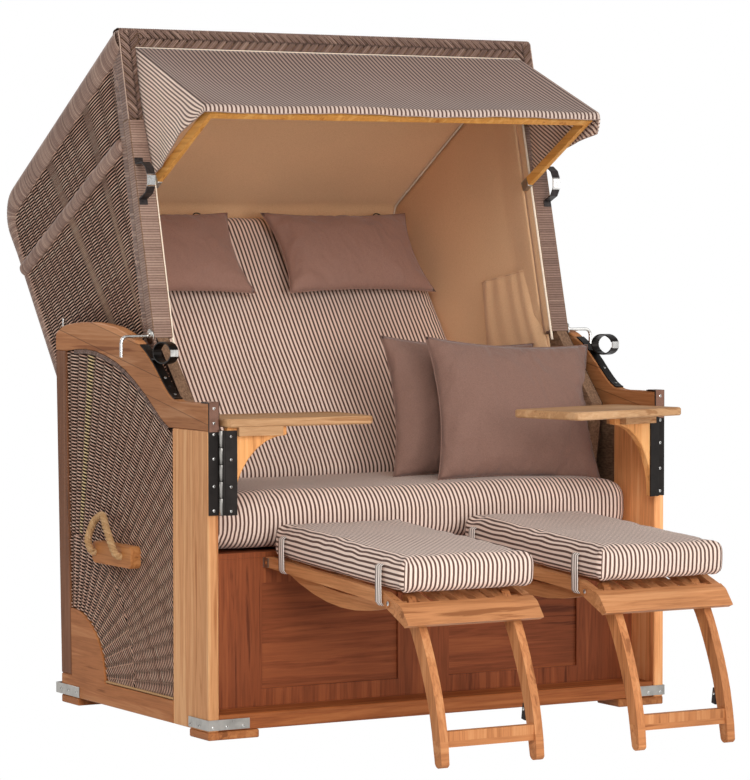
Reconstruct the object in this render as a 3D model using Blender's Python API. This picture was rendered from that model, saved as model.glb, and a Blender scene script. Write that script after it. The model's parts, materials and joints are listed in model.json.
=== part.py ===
"""Two-seat hooded beach chair: a wooden base with woven sides, and a woven hood that reclines.

Metres, +Z up, the front towards -Y. While the pieces are made, the floor is z = 0, the chair's
middle is x = 0 and the front faces of the front posts are y = 0. The whole chair is then moved
along Y, so that the middle of its bounding box stands on the origin.
"""
import math

import bmesh
import bpy
import numpy as np
from mathutils import Matrix, Vector

# Clearances
GAP = 0.0003            # between pieces that touch
PIN_PLAY = 0.0004       # around a pin in its hole
OVERRUN = 0.010         # how far a cutter passes the piece it cuts
BITE = 0.001            # how far two stretches of one piece run into each other

# Base
BASE_WIDTH = 1.200
BASE_DEPTH = 0.753
BOARD = 0.026           # thickness of the side frames' boards
BOARD_EDGE = 0.0022     # rounding of the wooden edges
ARM_HEIGHT = 0.734
ARM_RAIL_HEIGHT = 0.060
ARCH_RISE = 0.165       # top of the arch above the armrest
FRONT_POST_DEPTH = 0.170
REAR_POST_DEPTH = 0.055
REAR_POST_LEAN = 0.024
REAR_POST_TOP = 0.829
FOOT_WIDTH = 0.125
FOOT_DEPTH = 0.092
FOOT_HEIGHT = 0.018
SIDE_RAIL_HEIGHT = 0.051
GUSSET_DEPTH = 0.180
GUSSET_HEIGHT = 0.158
WEAVE_THICKNESS = 0.014
WEAVE_INSET = 0.006
WEAVE_RELIEF = 0.0025    # how far the weave lies back between its main ribs
FAN_RIB_WIDTH = 0.012
FAN_GAPS = 11            # between the main ribs of a side, which spread from its lower rear corner

# Front of the base and seat
FRONT_RAIL_HEIGHT = 0.036
FRONT_RAIL_SETBACK = 0.003
PANEL_RECESS = 0.093
PANEL_THICKNESS = 0.018
PANEL_TOP = 0.385
FIELD_WIDTH = 0.350
FIELD_HEIGHT = 0.236
FIELD_RAISE = 0.038     # bottom of the fields above the front rail
FIELD_DEPTH = 0.006
MUNTIN_WIDTH = 0.136
BEARER_HEIGHT = 0.024
DECK_THICKNESS = 0.012
DECK_AXLE_GAP = 0.045   # from the deck's rear edge to the hood's axle
DECK_LIP_DEPTH = 0.020
DECK_LIP_HEIGHT = 0.036
REAR_PANEL_SETBACK = 0.013

# Hood
AXLE_INSET = 0.143      # from the base's rear
AXLE_BELOW_PANEL = 0.050
AXLE_RADIUS = 0.009
AXLE_BOSS_DEPTH = 0.050
AXLE_BOSS_DROP = 0.030
HOOD_WIDTH = 1.106
HOOD_FRONT_SETBACK = 0.090  # top of the hood's mouth in front of its axle
HOOD_HEIGHT = 1.235         # and above it
HOOD_LEAN = math.radians(14.25)
HOOD_FRONT_LENGTH = 0.724
ROOF_PITCH = math.radians(31.55)
ROOF_LENGTH = 0.770
BACK_SLOPE = math.radians(52.5)
BACK_FOOT_RISE = 0.152      # lower edge of the hood's back above the axle
HOOD_CORNER_RADIUS = 0.075
WALL = 0.030
SHELL_RIB_WIDTH = 0.020
SHELL_RIB_PITCH = 0.066
RIM_OUTER_WIDTH = 1.116
RIM_INNER_WIDTH = 1.022
RIM_TOP_HEIGHT = 0.042
RIM_DEPTH = 0.030
RIM_CORNER_RADIUS = 0.026
CHEEK_TOE_REACH = 0.423     # in front of the axle
CHEEK_TOE_RISE = 0.365      # above the axle
CHEEK_HEEL_REACH = 0.395
CHEEK_BASE_CLEARANCE = 0.013    # above the seat cushion's crown
LUG_FRONT_REACH = 0.038
LUG_RADIUS = 0.028

# Awning
AWNING_SETBACK = 0.012
AWNING_DROP = 0.357     # pivot below the top of the hood, along its front
AWNING_ARM_LENGTH = 0.305
AWNING_RISE = math.radians(29.6)
AWNING_ARM_WIDTH = 0.022
AWNING_ARM_THICKNESS = 0.012
AWNING_BAR_WIDTH = 0.020
AWNING_PIN_RADIUS = 0.004
AWNING_PIN_REACH = 0.016
AWNING_SIDE_CLEARANCE = 0.004
CLOTH_THICKNESS = 0.003
CLOTH_WIDTH = 1.046
CLOTH_OVERHANG = 0.012
CLOTH_SAG = 0.008
VALANCE_HEIGHT = 0.030
FLAP_RISE = 0.012       # the flap's low edge above the arm's middle line

# Hood fittings
HANDLE_DROP = 0.305
HANDLE_LENGTH = 0.110
HANDLE_REACH = 0.050
HANDLE_WIDTH = 0.020
STRAP_STEEL = 0.003
HANDLE_SETIN = 0.002
LEVER_INSET = 0.016    # behind the front of the hood's rim
LEVER_DOWN = 0.717      # along the rim
LEVER_RADIUS = 0.004
LEVER_REACH = 0.074
LEVER_DROP = 0.046
LEVER_BEND = 0.014
LEVER_STUB = 0.016
WASHER_RADIUS = 0.017
WASHER_THICKNESS = 0.0025

# Arm bands, brackets and the side handles
BAND_WIDTH = 0.020
BAND_REAR_SHARE = 0.445     # of the base's depth
BAND_FRONT_SHARE = 0.219
BAND_LOOP_SHARE = 0.302
BAND_LOOP_HALF_LENGTH = 0.0435
BAND_LOOP_HALF_HEIGHT = 0.0235
BAND_TONGUE_REACH = 0.0535  # from the middle of the loop back to the strip
BRACKET_THICKNESS = 0.002
BRACKET_HEIGHT = 0.023
BRACKET_SIDE_LENGTH = 0.092
BRACKET_FRONT_LENGTH = 0.100
BRACKET_LIFT = 0.004
CLEAT_LENGTH = 0.203
CLEAT_HEIGHT = 0.050
CLEAT_THICKNESS = 0.027
CLEAT_CENTRE_SHARE = 0.5817     # of the base's depth
CLEAT_BOTTOM = 0.348
ROPE_RADIUS = 0.009
ROPE_FRONT_REACH = 0.050    # from the middle of the cleat
ROPE_REAR_REACH = 0.084
ROPE_RISE = 0.064           # above the cleat
ROPE_LEAN_SHARE = 0.35
ROPE_STANDOFF = 0.019

# Swing tables
TABLE_AXIS_INSET = 0.003    # hinge axis inwards of the post's inner face
TABLE_AXIS_FORWARD = 0.008
KNUCKLE_RADIUS = 0.0052
HINGE_BOTTOM = 0.491
HINGE_TOP = 0.676
LEAF_THICKNESS = 0.0025
LEAF_WIDTH = 0.022
LEAF_TURNOVER = 0.034
TABLE_BRACKET_START = 0.010
TABLE_BRACKET_LENGTH = 0.152
TABLE_BRACKET_THICKNESS = 0.020
TABLE_BRACKET_FOOT = 0.012
TRAY_LENGTH = 0.355
TRAY_WIDTH = 0.210
TRAY_THICKNESS = 0.0185
TRAY_TOP = 0.701
TRAY_START = 0.004
TRAY_CORNER = 0.016
BATTEN_LENGTH = 0.105
BATTEN_WIDTH = 0.020
BATTEN_HEIGHT = 0.019
TRAY_EDGE = 0.003
TRAY_FRONT_LEFT = 0.024     # how far each tray reaches in front of its bracket
TRAY_FRONT_RIGHT = 0.090
TABLE_SWING_LEFT = math.radians(4.0)
TABLE_SWING_RIGHT = math.radians(14.0)

# Footrests
FOOTREST_INNER_X = 0.079
FOOTREST_WIDTH = 0.333
FOOTREST_AXIS_Y = 0.078
FOOTREST_AXIS_Z = 0.3745
FOOTREST_RAIL_END = 0.008
FOOTREST_SLOPE = math.radians(3.4)
FOOTREST_STRAIGHT = 0.478
FOOTREST_LENGTH = 0.587         # along its top, from the hinge
FOOTREST_NOSE_DROP = 0.0256     # how far its curved end falls below the straight part
FOOTREST_RAIL_HEIGHT = 0.022
FOOTREST_RAIL = 0.020
NOSE_HEIGHT = 0.033
NOSE_LEAN = 0.024
NOSE_THICKNESS = 0.021
NOSE_HEEL = 0.006
SLAT_COUNT = 5
SLAT_WIDTH = 0.026
SLAT_THICKNESS = 0.010
CROSS_BAR_DEPTH = 0.026
BOW_SAG = 0.025
BOW_HEIGHT = 0.032
BOW_END_SHARE = 0.45
BOW_START = 0.050
BOW_END = 0.540
HINGE_PIN_RADIUS = 0.004
EAR_THICKNESS = 0.003
EAR_HEIGHT = 0.022
LEG_THICKNESS = 0.0195
LEG_TOP_WIDTH = 0.036
LEG_FOOT_WIDTH = 0.029
LEG_PIVOT = 0.527           # along the footrest from its hinge
LEG_PIVOT_DROP = 0.019
LEG_FOOT_FORWARD = 0.136
LEG_BOLT_RADIUS = 0.004
BOLT_HEAD_RADIUS = 0.0075
BOLT_HEAD = 0.003
STRETCHER_HEIGHT = 0.033
STRETCHER_THICKNESS = 0.018
STRETCHER_BOTTOM = 0.042

# Soft parts
SEAT_CUSHION_HEIGHT = 0.112
SEAT_CUSHION_OVERHANG = 0.009
SEAT_CUSHION_AXLE_GAP = 0.048
BACK_CUSHION_THICKNESS = 0.050
BACK_CUSHION_WIDTH = 1.036
BACK_CUSHION_TOP_GAP = 0.077    # below the hood's rear corner, along the back
BACK_CUSHION_OVERHANG = 0.030   # below the lower edge of the hood's back
HEAD_PILLOW_WIDTH = 0.420
HEAD_PILLOW_HEIGHT = 0.250
HEAD_PILLOW_THICKNESS = 0.094
HEAD_PILLOW_X = 0.262
HEAD_PILLOW_INSET = 0.004
HEAD_PILLOW_SINK = 0.0015   # beside the crown of the back cushion
SCATTER_SIZE = 0.425
SCATTER_HEIGHT = 0.355
SCATTER_THICKNESS = 0.125
SCATTER_LEAN = math.radians(22.0)
SCATTER_FRONT = (0.300, 0.228, 0.0022)  # middle in X and Y, and how far it sinks beside the crown
SCATTER_REAR = (0.272, 0.372, -0.0014)
FOOT_CUSHION_THICKNESS = 0.074
FOOT_CUSHION_LENGTH = 0.580
FOOT_CUSHION_WIDTH = 0.338
FOOT_CUSHION_START = 0.012
SEAM = 0.006                # thickness of a pillow at its seam
SEAT_CROWN = 0.014
BACK_CROWN = 0.006
FOOT_CROWN = 0.010
SEAT_DRAW_IN = 0.004
BAND_BULGE_SHARE = 0.04     # how far a cushion's side bands bulge, as a share of their height
PILLOW_DRAW_IN = 0.018

LEFT = -1
RIGHT = 1
NAMES = {LEFT: "left", RIGHT: "right"}
X_AXIS = Vector((1, 0, 0))
Y_AXIS = Vector((0, 1, 0))
Z_AXIS = Vector((0, 0, 1))
ORIGIN = Vector((0, 0, 0))

HALF_BASE = BASE_WIDTH / 2
POST_INNER = HALF_BASE - BOARD
HALF_HOOD = HOOD_WIDTH / 2
AXLE_Y = BASE_DEPTH - AXLE_INSET
AXLE_Z = PANEL_TOP - AXLE_BELOW_PANEL
DECK_REAR = AXLE_Y - DECK_AXLE_GAP


def clear_scene():
    for item in list(bpy.data.objects):
        bpy.data.objects.remove(item, do_unlink=True)


MATERIALS = {
    "wood": ((0.55, 0.27, 0.12), 0.45, 0.0),
    "wood_pale": ((0.66, 0.40, 0.19), 0.45, 0.0),
    "weave": ((0.16, 0.11, 0.09), 0.55, 0.0),
    "stripe": ((0.42, 0.34, 0.30), 0.9, 0.0),
    "taupe": ((0.19, 0.13, 0.115), 0.9, 0.0),
    "canvas": ((0.45, 0.38, 0.34), 0.85, 0.0),
    "steel": ((0.55, 0.55, 0.55), 0.25, 1.0),
    "dark_steel": ((0.05, 0.045, 0.045), 0.4, 1.0),
    "rope": ((0.55, 0.38, 0.22), 0.9, 0.0),
}


def material(name):
    found = bpy.data.materials.get(name)
    if found:
        return found
    colour, roughness, metallic = MATERIALS[name]
    made = bpy.data.materials.new(name)
    made.use_nodes = True
    shader = made.node_tree.nodes["Principled BSDF"]
    shader.inputs["Base Color"].default_value = (*colour, 1.0)
    shader.inputs["Roughness"].default_value = roughness
    shader.inputs["Metallic"].default_value = metallic
    return made


# One empty for each body stands on the axis that the body turns about

BODIES = {}


def add_body(name, axis_point=ORIGIN, parent=None):
    empty = bpy.data.objects.new(name + "_axis", None)
    bpy.context.collection.objects.link(empty)
    empty.location = axis_point - (BODIES[parent][1] if parent else ORIGIN)
    if parent:
        empty.parent = BODIES[parent][0]
    BODIES[name] = (empty, Vector(axis_point))
    return empty


def finish_object(name, bm, body, finish, smooth=False, tool=False):
    """Turn a mesh in the chair's coordinates into an object of a body."""
    empty, axis_point = BODIES[body]
    bmesh.ops.recalc_face_normals(bm, faces=bm.faces)
    bmesh.ops.translate(bm, verts=bm.verts, vec=-axis_point)
    mesh = bpy.data.meshes.new(name)
    bm.to_mesh(mesh)
    bm.free()
    item = bpy.data.objects.new(name, mesh)
    bpy.context.collection.objects.link(item)
    item.parent = empty
    mesh.materials.append(material(finish))
    if smooth:
        mesh.shade_smooth()
        mesh.set_sharp_from_angle(angle=math.radians(40))
    if tool:
        item.hide_render = True
        item.display_type = "WIRE"
    return item


def round_edges(item, width):
    """Bevel the outer edges. The inner ones stay sharp, so that no piece fills its own corners."""
    bm = bmesh.new()
    bm.from_mesh(item.data)
    weights = bm.edges.layers.float.new("bevel_weight_edge")
    for edge in bm.edges:
        turn = edge.calc_face_angle_signed()
        edge[weights] = 1.0 if turn > math.radians(40) else 0.0
    bm.to_mesh(item.data)
    bm.free()
    bevel = item.modifiers.new("edges", "BEVEL")
    bevel.width = width
    bevel.segments = 1
    bevel.limit_method = "WEIGHT"


def combine(item, other, operation):
    other.hide_render = True
    other.display_type = "WIRE"
    change = item.modifiers.new(other.name, "BOOLEAN")
    change.operation = operation
    change.object = other


def fuse(item, *others):
    for other in others:
        combine(item, other, "UNION")


def cut(item, *others):
    for other in others:
        combine(item, other, "DIFFERENCE")


# Shapes

def add_prism(bm, outline, origin, u, v, start, end):
    """An outline in the plane of u and v, extruded along their normal."""
    w = u.cross(v)
    near = [bm.verts.new(origin + u * a + v * b + w * start) for a, b in outline]
    far = [bm.verts.new(origin + u * a + v * b + w * end) for a, b in outline]
    bm.faces.new(near)
    bm.faces.new(far)
    for i in range(len(near)):
        j = (i + 1) % len(near)
        bm.faces.new((near[i], near[j], far[j], far[i]))


def prism(name, body, finish, outline, start, end, origin=ORIGIN, u=Y_AXIS, v=Z_AXIS, **extra):
    bm = bmesh.new()
    add_prism(bm, outline, origin, u, v, start, end)
    return finish_object(name, bm, body, finish, **extra)


def block(name, body, finish, low, high, **extra):
    x0, y0, z0 = low
    x1, y1, z1 = high
    outline = [(y0, z0), (y1, z0), (y1, z1), (y0, z1)]
    return prism(name, body, finish, outline, min(x0, x1), max(x0, x1), **extra)


def sided(side, inner, outer, y0, y1, z0, z1):
    """Low and high corners of a block on one side of the chair."""
    return (side * inner, y0, z0), (side * outer, y1, z1)


def cylinder(name, body, finish, start, end, radius, sides=16, **extra):
    ring = [(radius * math.cos(math.tau * i / sides), radius * math.sin(math.tau * i / sides))
            for i in range(sides)]
    along = (end - start).normalized()
    u = along.orthogonal().normalized()
    v = along.cross(u)
    return prism(name, body, finish, ring, 0, (end - start).length, origin=start, u=u, v=v, **extra)


def sweep(name, body, finish, path, section, across, **extra):
    """A section drawn along a path. Its first side stays along the direction across."""
    bm = bmesh.new()
    rings = []
    for i, point in enumerate(path):
        before = path[max(i - 1, 0)]
        after = path[min(i + 1, len(path) - 1)]
        along = (after - before).normalized()
        u = (across - along * across.dot(along)).normalized()
        v = along.cross(u)
        rings.append([bm.verts.new(point + u * a + v * b) for a, b in section])
    for lower, upper in zip(rings, rings[1:]):
        for i in range(len(section)):
            j = (i + 1) % len(section)
            bm.faces.new((lower[i], lower[j], upper[j], upper[i]))
    bm.faces.new(rings[0])
    bm.faces.new(rings[-1])
    return finish_object(name, bm, body, finish, **extra)


def circle(radius, sides):
    return [(radius * math.cos(math.tau * i / sides), radius * math.sin(math.tau * i / sides))
            for i in range(sides)]


def strip_section(width, thickness):
    return [(-width / 2, -thickness / 2), (width / 2, -thickness / 2),
            (width / 2, thickness / 2), (-width / 2, thickness / 2)]


def arc(centre, radius_a, radius_b, start, end, steps):
    """Points of an elliptic arc, with angles in degrees."""
    points = []
    for i in range(steps + 1):
        angle = math.radians(start + (end - start) * i / steps)
        points.append((centre[0] + radius_a * math.cos(angle), centre[1] + radius_b * math.sin(angle)))
    return points


def smooth(points, steps):
    """A curve through the points, with some steps between each two."""
    padded = [points[0], *points, points[-1]]
    curve = []
    for p0, p1, p2, p3 in zip(padded, padded[1:], padded[2:], padded[3:]):
        for i in range(steps):
            t = i / steps
            curve.append(tuple(
                0.5 * (2 * b + (c - a) * t + (2 * a - 5 * b + 4 * c - d) * t * t
                       + (3 * b - a - 3 * c + d) * t ** 3)
                for a, b, c, d in zip(p0, p1, p2, p3)))
    curve.append(tuple(points[-1]))
    return curve


def offset_curve(points, distance, end_distance=None):
    """The open curve moved sideways, to its left for a positive distance."""
    first = distance
    last = first if end_distance is None else end_distance
    moved = []
    for i, (a, b) in enumerate(points):
        distance = first + (last - first) * i / (len(points) - 1)
        before = points[max(i - 1, 0)]
        after = points[min(i + 1, len(points) - 1)]
        along = Vector((after[0] - before[0], after[1] - before[1])).normalized()
        moved.append((a - along.y * distance, b + along.x * distance))
    return moved


def fillet(corner, before, after, radius, steps):
    """Points of a round corner between the lines to the points before and after."""
    corner, before, after = Vector(corner), Vector(before), Vector(after)
    a = (before - corner).normalized()
    b = (after - corner).normalized()
    half = a.angle(b) / 2
    centre = corner + (a + b).normalized() * (radius / math.sin(half))
    start = corner + a * (radius / math.tan(half))
    end = corner + b * (radius / math.tan(half))
    points = []
    for i in range(steps + 1):
        blend = start.lerp(end, i / steps) - centre
        points.append(tuple(centre + blend.normalized() * radius))
    return points


def pad(name, body, finish, size, centre, turn, top_height, side_steps=2, counts=(12, 10),
        draw_in=0.0, outline_power=1.0):
    """A closed cushion: a face above and one below, and side bands that bulge a little.

    size is its largest width and length, and its edge height. top_height gives how far each
    face stands beyond the edge height, for u and v from -1 to 1."""
    width, length, edge = size
    bulge = edge * BAND_BULGE_SHARE if side_steps > 1 else 0
    width -= 2 * bulge
    length -= 2 * bulge
    across, along = counts
    bm = bmesh.new()

    def place(u, v, height, swell=0.0):
        x = width / 2 * u - math.copysign(draw_in * (1 - v * v) * abs(u) ** outline_power, u)
        y = length / 2 * v - math.copysign(draw_in * (1 - u * u) * abs(v) ** outline_power, v)
        push = Vector((x, y, 0))
        if swell:
            push += Vector((u if abs(u) == 1 else 0, v if abs(v) == 1 else 0, 0)) * swell
        return bm.verts.new(turn @ (push + Vector((0, 0, height))) + centre)

    def spread(i, n):
        t = 2 * i / n - 1
        return math.sin(t * math.pi / 2)

    us = [spread(i, across) for i in range(across + 1)]
    vs = [spread(j, along) for j in range(along + 1)]
    upper = [[place(u, v, edge / 2 + top_height(u, v, 1)) for v in vs] for u in us]
    lower = [[place(u, v, -edge / 2 - top_height(u, v, -1)) for v in vs] for u in us]
    for i in range(across):
        for j in range(along):
            bm.faces.new((upper[i][j], upper[i + 1][j], upper[i + 1][j + 1], upper[i][j + 1]))
            bm.faces.new((lower[i][j], lower[i][j + 1], lower[i + 1][j + 1], lower[i + 1][j]))
    border = [(i, 0) for i in range(across)] + [(across, j) for j in range(along)]
    border += [(i, along) for i in range(across, 0, -1)] + [(0, j) for j in range(along, 0, -1)]
    rows = [[upper[i][j] for i, j in border]]
    for k in range(1, side_steps):
        share = k / side_steps
        swell = bulge * math.sin(share * math.pi)
        rows.append([place(us[i], vs[j], edge / 2 - edge * share, swell) for i, j in border])
    rows.append([lower[i][j] for i, j in border])
    for first, second in zip(rows, rows[1:]):
        for k in range(len(border)):
            m = (k + 1) % len(border)
            bm.faces.new((first[k], second[k], second[m], first[m]))
    return finish_object(name, bm, body, finish, smooth=True)


def box_crown(crown, flat=1):
    """Height of a boxed cushion's face: crowned above, and flat below where flat is 0."""
    def height(u, v, face):
        share = (1 - u ** 4) * (1 - v ** 4)
        return crown * share if face > 0 else crown * flat * share
    return height


def pillow_crown(thickness):
    """Height of a pillow's face, which falls to its seam all round."""
    def height(u, v, face):
        share = max(0.0, (1 - u * u) * (1 - v * v)) ** 0.42
        return (thickness - SEAM) / 2 * share
    return height


# Base

# Shares of the base's depth and of the arch's rise above the armrest
ARCH_OUTER_SHARES = [(0, 0), (0.142, -0.005), (0.205, 0.0), (0.252, 0.08), (0.304, 0.26),
                     (0.3705, 0.51), (0.470, 0.764), (0.607, 0.945), (0.782, 1.0), (0.900, 0.975),
                     (0.985, 0.92), (1.032, 0.81)]
ARCH_INNER_SHARES = [(0.960, 0.576), (0.818, 0.618), (0.677, 0.545), (0.539, 0.358),
                     (0.404, 0.042), (0.305, -0.25), (0.252, -0.3636)]


def arch_point(share):
    return (share[0] * BASE_DEPTH, ARM_HEIGHT + share[1] * ARCH_RISE)


ARM_UNDERSIDE = ARM_HEIGHT - ARM_RAIL_HEIGHT
ARCH_OUTER = smooth([arch_point(s) for s in ARCH_OUTER_SHARES], 2)
ARCH_INNER = smooth([arch_point(s) for s in ARCH_INNER_SHARES], 2)
RAIL_TOP = FOOT_HEIGHT + SIDE_RAIL_HEIGHT
WEAVE_OUTER = HALF_BASE - WEAVE_INSET
FRONT_RAIL_TOP = FOOT_HEIGHT + FRONT_RAIL_HEIGHT
PANEL_REAR = PANEL_RECESS + PANEL_THICKNESS
DECK_TOP = PANEL_TOP + DECK_THICKNESS
SEAT_TOP = DECK_TOP + GAP + SEAT_CUSHION_HEIGHT + SEAT_CROWN
BEARER_INNER = HALF_HOOD + GAP * 5


def rear_post_shift(z):
    return REAR_POST_LEAN * (z - RAIL_TOP) / (REAR_POST_TOP - RAIL_TOP)


def rear_post_inner(z):
    return BASE_DEPTH - REAR_POST_DEPTH + rear_post_shift(z)


def fan_gaps(side, centre):
    """The shallow gaps between the main ribs that spread upward and forward from a centre."""
    bm = bmesh.new()
    centre = Vector(centre)
    turn = math.pi / 2 / FAN_GAPS
    depths = sorted((side * (WEAVE_OUTER - WEAVE_RELIEF), side * (WEAVE_OUTER + OVERRUN)))
    reach = BASE_DEPTH + ARM_HEIGHT
    for i in range(FAN_GAPS):
        ways = [Vector((-math.sin(a), math.cos(a))) for a in (turn * i, turn * (i + 1))]
        near = centre + (ways[0] + ways[1]).normalized() * (FAN_RIB_WIDTH / 2 / math.sin(turn / 2))
        outline = [tuple(near), tuple(near + ways[0] * reach), tuple(near + ways[1] * reach)]
        add_prism(bm, outline, ORIGIN, Y_AXIS, Z_AXIS, *depths)
    return finish_object("fan_gaps_" + NAMES[side], bm, "base", "weave", tool=True)


def add_side_frame(side):
    name = NAMES[side]
    inner, outer = sorted((side * POST_INNER, side * HALF_BASE))

    post = block("front_post_" + name, "base", "wood",
                 *sided(side, POST_INNER, HALF_BASE, 0, FRONT_POST_DEPTH,
                        FOOT_HEIGHT + GAP, ARM_UNDERSIDE - GAP))
    round_edges(post, BOARD_EDGE)

    low, high = RAIL_TOP + GAP, REAR_POST_TOP - GAP
    outline = [(rear_post_inner(low), low), (BASE_DEPTH + rear_post_shift(low), low),
               (BASE_DEPTH + rear_post_shift(high), high), (rear_post_inner(high), high)]
    round_edges(prism("rear_post_" + name, "base", "wood", outline, inner, outer), BOARD_EDGE)

    start = FRONT_POST_DEPTH + GAP
    corner = rear_post_inner(RAIL_TOP) - GAP
    gusset_top = RAIL_TOP + GUSSET_HEIGHT
    lean = rear_post_shift(gusset_top)
    curve = arc((corner, RAIL_TOP), GUSSET_DEPTH, GUSSET_HEIGHT, 90, 180, 8)
    curve[0] = (corner + lean, gusset_top)
    outline = [(start, FOOT_HEIGHT + GAP), (BASE_DEPTH, FOOT_HEIGHT + GAP), (BASE_DEPTH, RAIL_TOP),
               (corner, RAIL_TOP), *curve, (start, RAIL_TOP)]
    round_edges(prism("side_rail_" + name, "base", "wood", outline, inner, outer), BOARD_EDGE)

    end = [(BASE_DEPTH + rear_post_shift(REAR_POST_TOP), REAR_POST_TOP)]
    outline = [*ARCH_OUTER, *end, *ARCH_INNER, (0, ARM_UNDERSIDE)]
    round_edges(prism("arch_rail_" + name, "base", "wood", outline, inner, outer), BOARD_EDGE)

    under_arch = offset_curve(ARCH_INNER, GAP * 2)
    under_arch = [(max(y, start), z) for y, z in under_arch if y < rear_post_inner(z) - GAP]
    clear = GAP * 3
    around_gusset = arc((corner, RAIL_TOP), GUSSET_DEPTH + clear, GUSSET_HEIGHT + clear, 90, 180, 8)[1:-1]
    first = (rear_post_inner(gusset_top) - GAP, gusset_top + clear)
    last = (rear_post_inner(REAR_POST_TOP) - GAP, REAR_POST_TOP - GAP * 2)
    outline = [first, last, *under_arch, (start, ARM_UNDERSIDE - GAP), (start, RAIL_TOP + GAP),
               (corner - GUSSET_DEPTH - clear, RAIL_TOP + GAP), *reversed(around_gusset)]
    sides = sorted((side * WEAVE_OUTER, side * (WEAVE_OUTER - WEAVE_THICKNESS)))
    woven = prism("side_weave_" + name, "base", "weave", outline, *sides)
    cut(woven, fan_gaps(side, (rear_post_inner(RAIL_TOP), RAIL_TOP)))

    for place, y in (("front", 0), ("rear", BASE_DEPTH - FOOT_DEPTH)):
        foot = block(f"foot_{place}_{name}", "base", "wood",
                     *sided(side, HALF_BASE - FOOT_WIDTH, HALF_BASE, y, y + FOOT_DEPTH, 0, FOOT_HEIGHT))
        round_edges(foot, BOARD_EDGE)

    # The seat bearer carries the deck and, in a deeper block, the end of the hood's axle
    bearer_top = PANEL_TOP - GAP
    bearer_low = bearer_top - BEARER_HEIGHT
    boss_front = AXLE_Y - AXLE_BOSS_DEPTH / 2
    boss_low = AXLE_Z - AXLE_BOSS_DROP
    outline = [(PANEL_REAR + GAP, bearer_top), (PANEL_REAR + GAP, bearer_low), (boss_front, bearer_low),
               (boss_front, boss_low), (boss_front + AXLE_BOSS_DEPTH, boss_low),
               (boss_front + AXLE_BOSS_DEPTH, bearer_low), (rear_post_inner(RAIL_TOP) - GAP, bearer_low),
               (rear_post_inner(RAIL_TOP) - GAP, bearer_top)]
    sides = sorted((side * BEARER_INNER, side * (POST_INNER - GAP)))
    bearer = prism("seat_bearer_" + name, "base", "wood_pale", outline, *sides)
    hole = cylinder(f"axle_seat_{name}", "base", "wood", Vector((side * (BEARER_INNER - OVERRUN), AXLE_Y, AXLE_Z)),
                    Vector((side * (POST_INNER + OVERRUN), AXLE_Y, AXLE_Z)), AXLE_RADIUS + GAP, tool=True)
    cut(bearer, hole)


def add_front():
    half = POST_INNER - GAP
    rail = block("front_rail", "base", "wood", (-half, FRONT_RAIL_SETBACK, FOOT_HEIGHT + GAP),
                 (half, PANEL_REAR, FRONT_RAIL_TOP))
    round_edges(rail, BOARD_EDGE)

    panel = block("front_panel", "base", "wood", (-half, PANEL_RECESS, FRONT_RAIL_TOP + GAP),
                  (half, PANEL_REAR, PANEL_TOP - GAP))
    field_low = FRONT_RAIL_TOP + FIELD_RAISE
    for side in (LEFT, RIGHT):
        field = block("field_cutter_" + NAMES[side], "base", "wood",
                      *sided(side, MUNTIN_WIDTH / 2, MUNTIN_WIDTH / 2 + FIELD_WIDTH,
                             PANEL_RECESS - OVERRUN, PANEL_RECESS + FIELD_DEPTH,
                             field_low, field_low + FIELD_HEIGHT), tool=True)
        cut(panel, field)


def add_seat():
    half = POST_INNER - GAP
    lip_front = DECK_REAR - DECK_LIP_DEPTH
    lip_low = PANEL_TOP - DECK_LIP_HEIGHT
    outline = [(PANEL_RECESS, DECK_TOP), (PANEL_RECESS, PANEL_TOP), (DECK_REAR, PANEL_TOP),
               (DECK_REAR, DECK_TOP)]
    deck = prism("seat_deck", "base", "wood_pale", outline, -half, half)
    lip_half = BEARER_INNER - GAP
    lip = block("deck_lip", "base", "wood_pale", (-lip_half, lip_front, lip_low),
                (lip_half, DECK_REAR, PANEL_TOP + BITE), tool=True)
    fuse(deck, lip)

    rear_face = BASE_DEPTH - REAR_POST_DEPTH + REAR_PANEL_SETBACK
    panel = block("rear_panel", "base", "wood", (-half, rear_face, FOOT_HEIGHT + GAP),
                  (half, rear_face + PANEL_THICKNESS, PANEL_TOP))
    round_edges(panel, BOARD_EDGE)

    reach = POST_INNER - GAP
    cylinder("hood_axle", "base", "steel", Vector((-reach, AXLE_Y, AXLE_Z)),
             Vector((reach, AXLE_Y, AXLE_Z)), AXLE_RADIUS, smooth=True)

    front = PANEL_RECESS - SEAT_CUSHION_OVERHANG
    length = AXLE_Y - SEAT_CUSHION_AXLE_GAP - front
    height = SEAT_CUSHION_HEIGHT
    centre = Vector((0, front + length / 2, DECK_TOP + GAP + height / 2))
    pad("seat_cushion", "base", "stripe", (2 * half - GAP * 2, length, height), centre,
        Matrix.Identity(3), box_crown(SEAT_CROWN, 0), side_steps=4, counts=(20, 10),
        draw_in=SEAT_DRAW_IN)


def add_scatter_pillows():
    lean = Matrix.Rotation(math.pi / 2 - SCATTER_LEAN, 3, "X")
    top = SEAT_TOP
    rise = SCATTER_HEIGHT / 2 * math.cos(SCATTER_LEAN)
    for name, (x, y, sink) in (("front", SCATTER_FRONT), ("rear", SCATTER_REAR)):
        pad("scatter_pillow_" + name, "base", "taupe", (SCATTER_SIZE, SCATTER_HEIGHT, SEAM),
            Vector((x, y, top + rise - sink)), lean, pillow_crown(SCATTER_THICKNESS), side_steps=1,
            counts=(14, 12), draw_in=PILLOW_DRAW_IN, outline_power=2)


def band_height(y):
    for (y0, z0), (y1, z1) in zip(ARCH_OUTER, ARCH_OUTER[1:]):
        if y0 <= y <= y1:
            return z0 + (z1 - z0) * (y - y0) / (y1 - y0)
    return ARCH_OUTER[-1][1]


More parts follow.
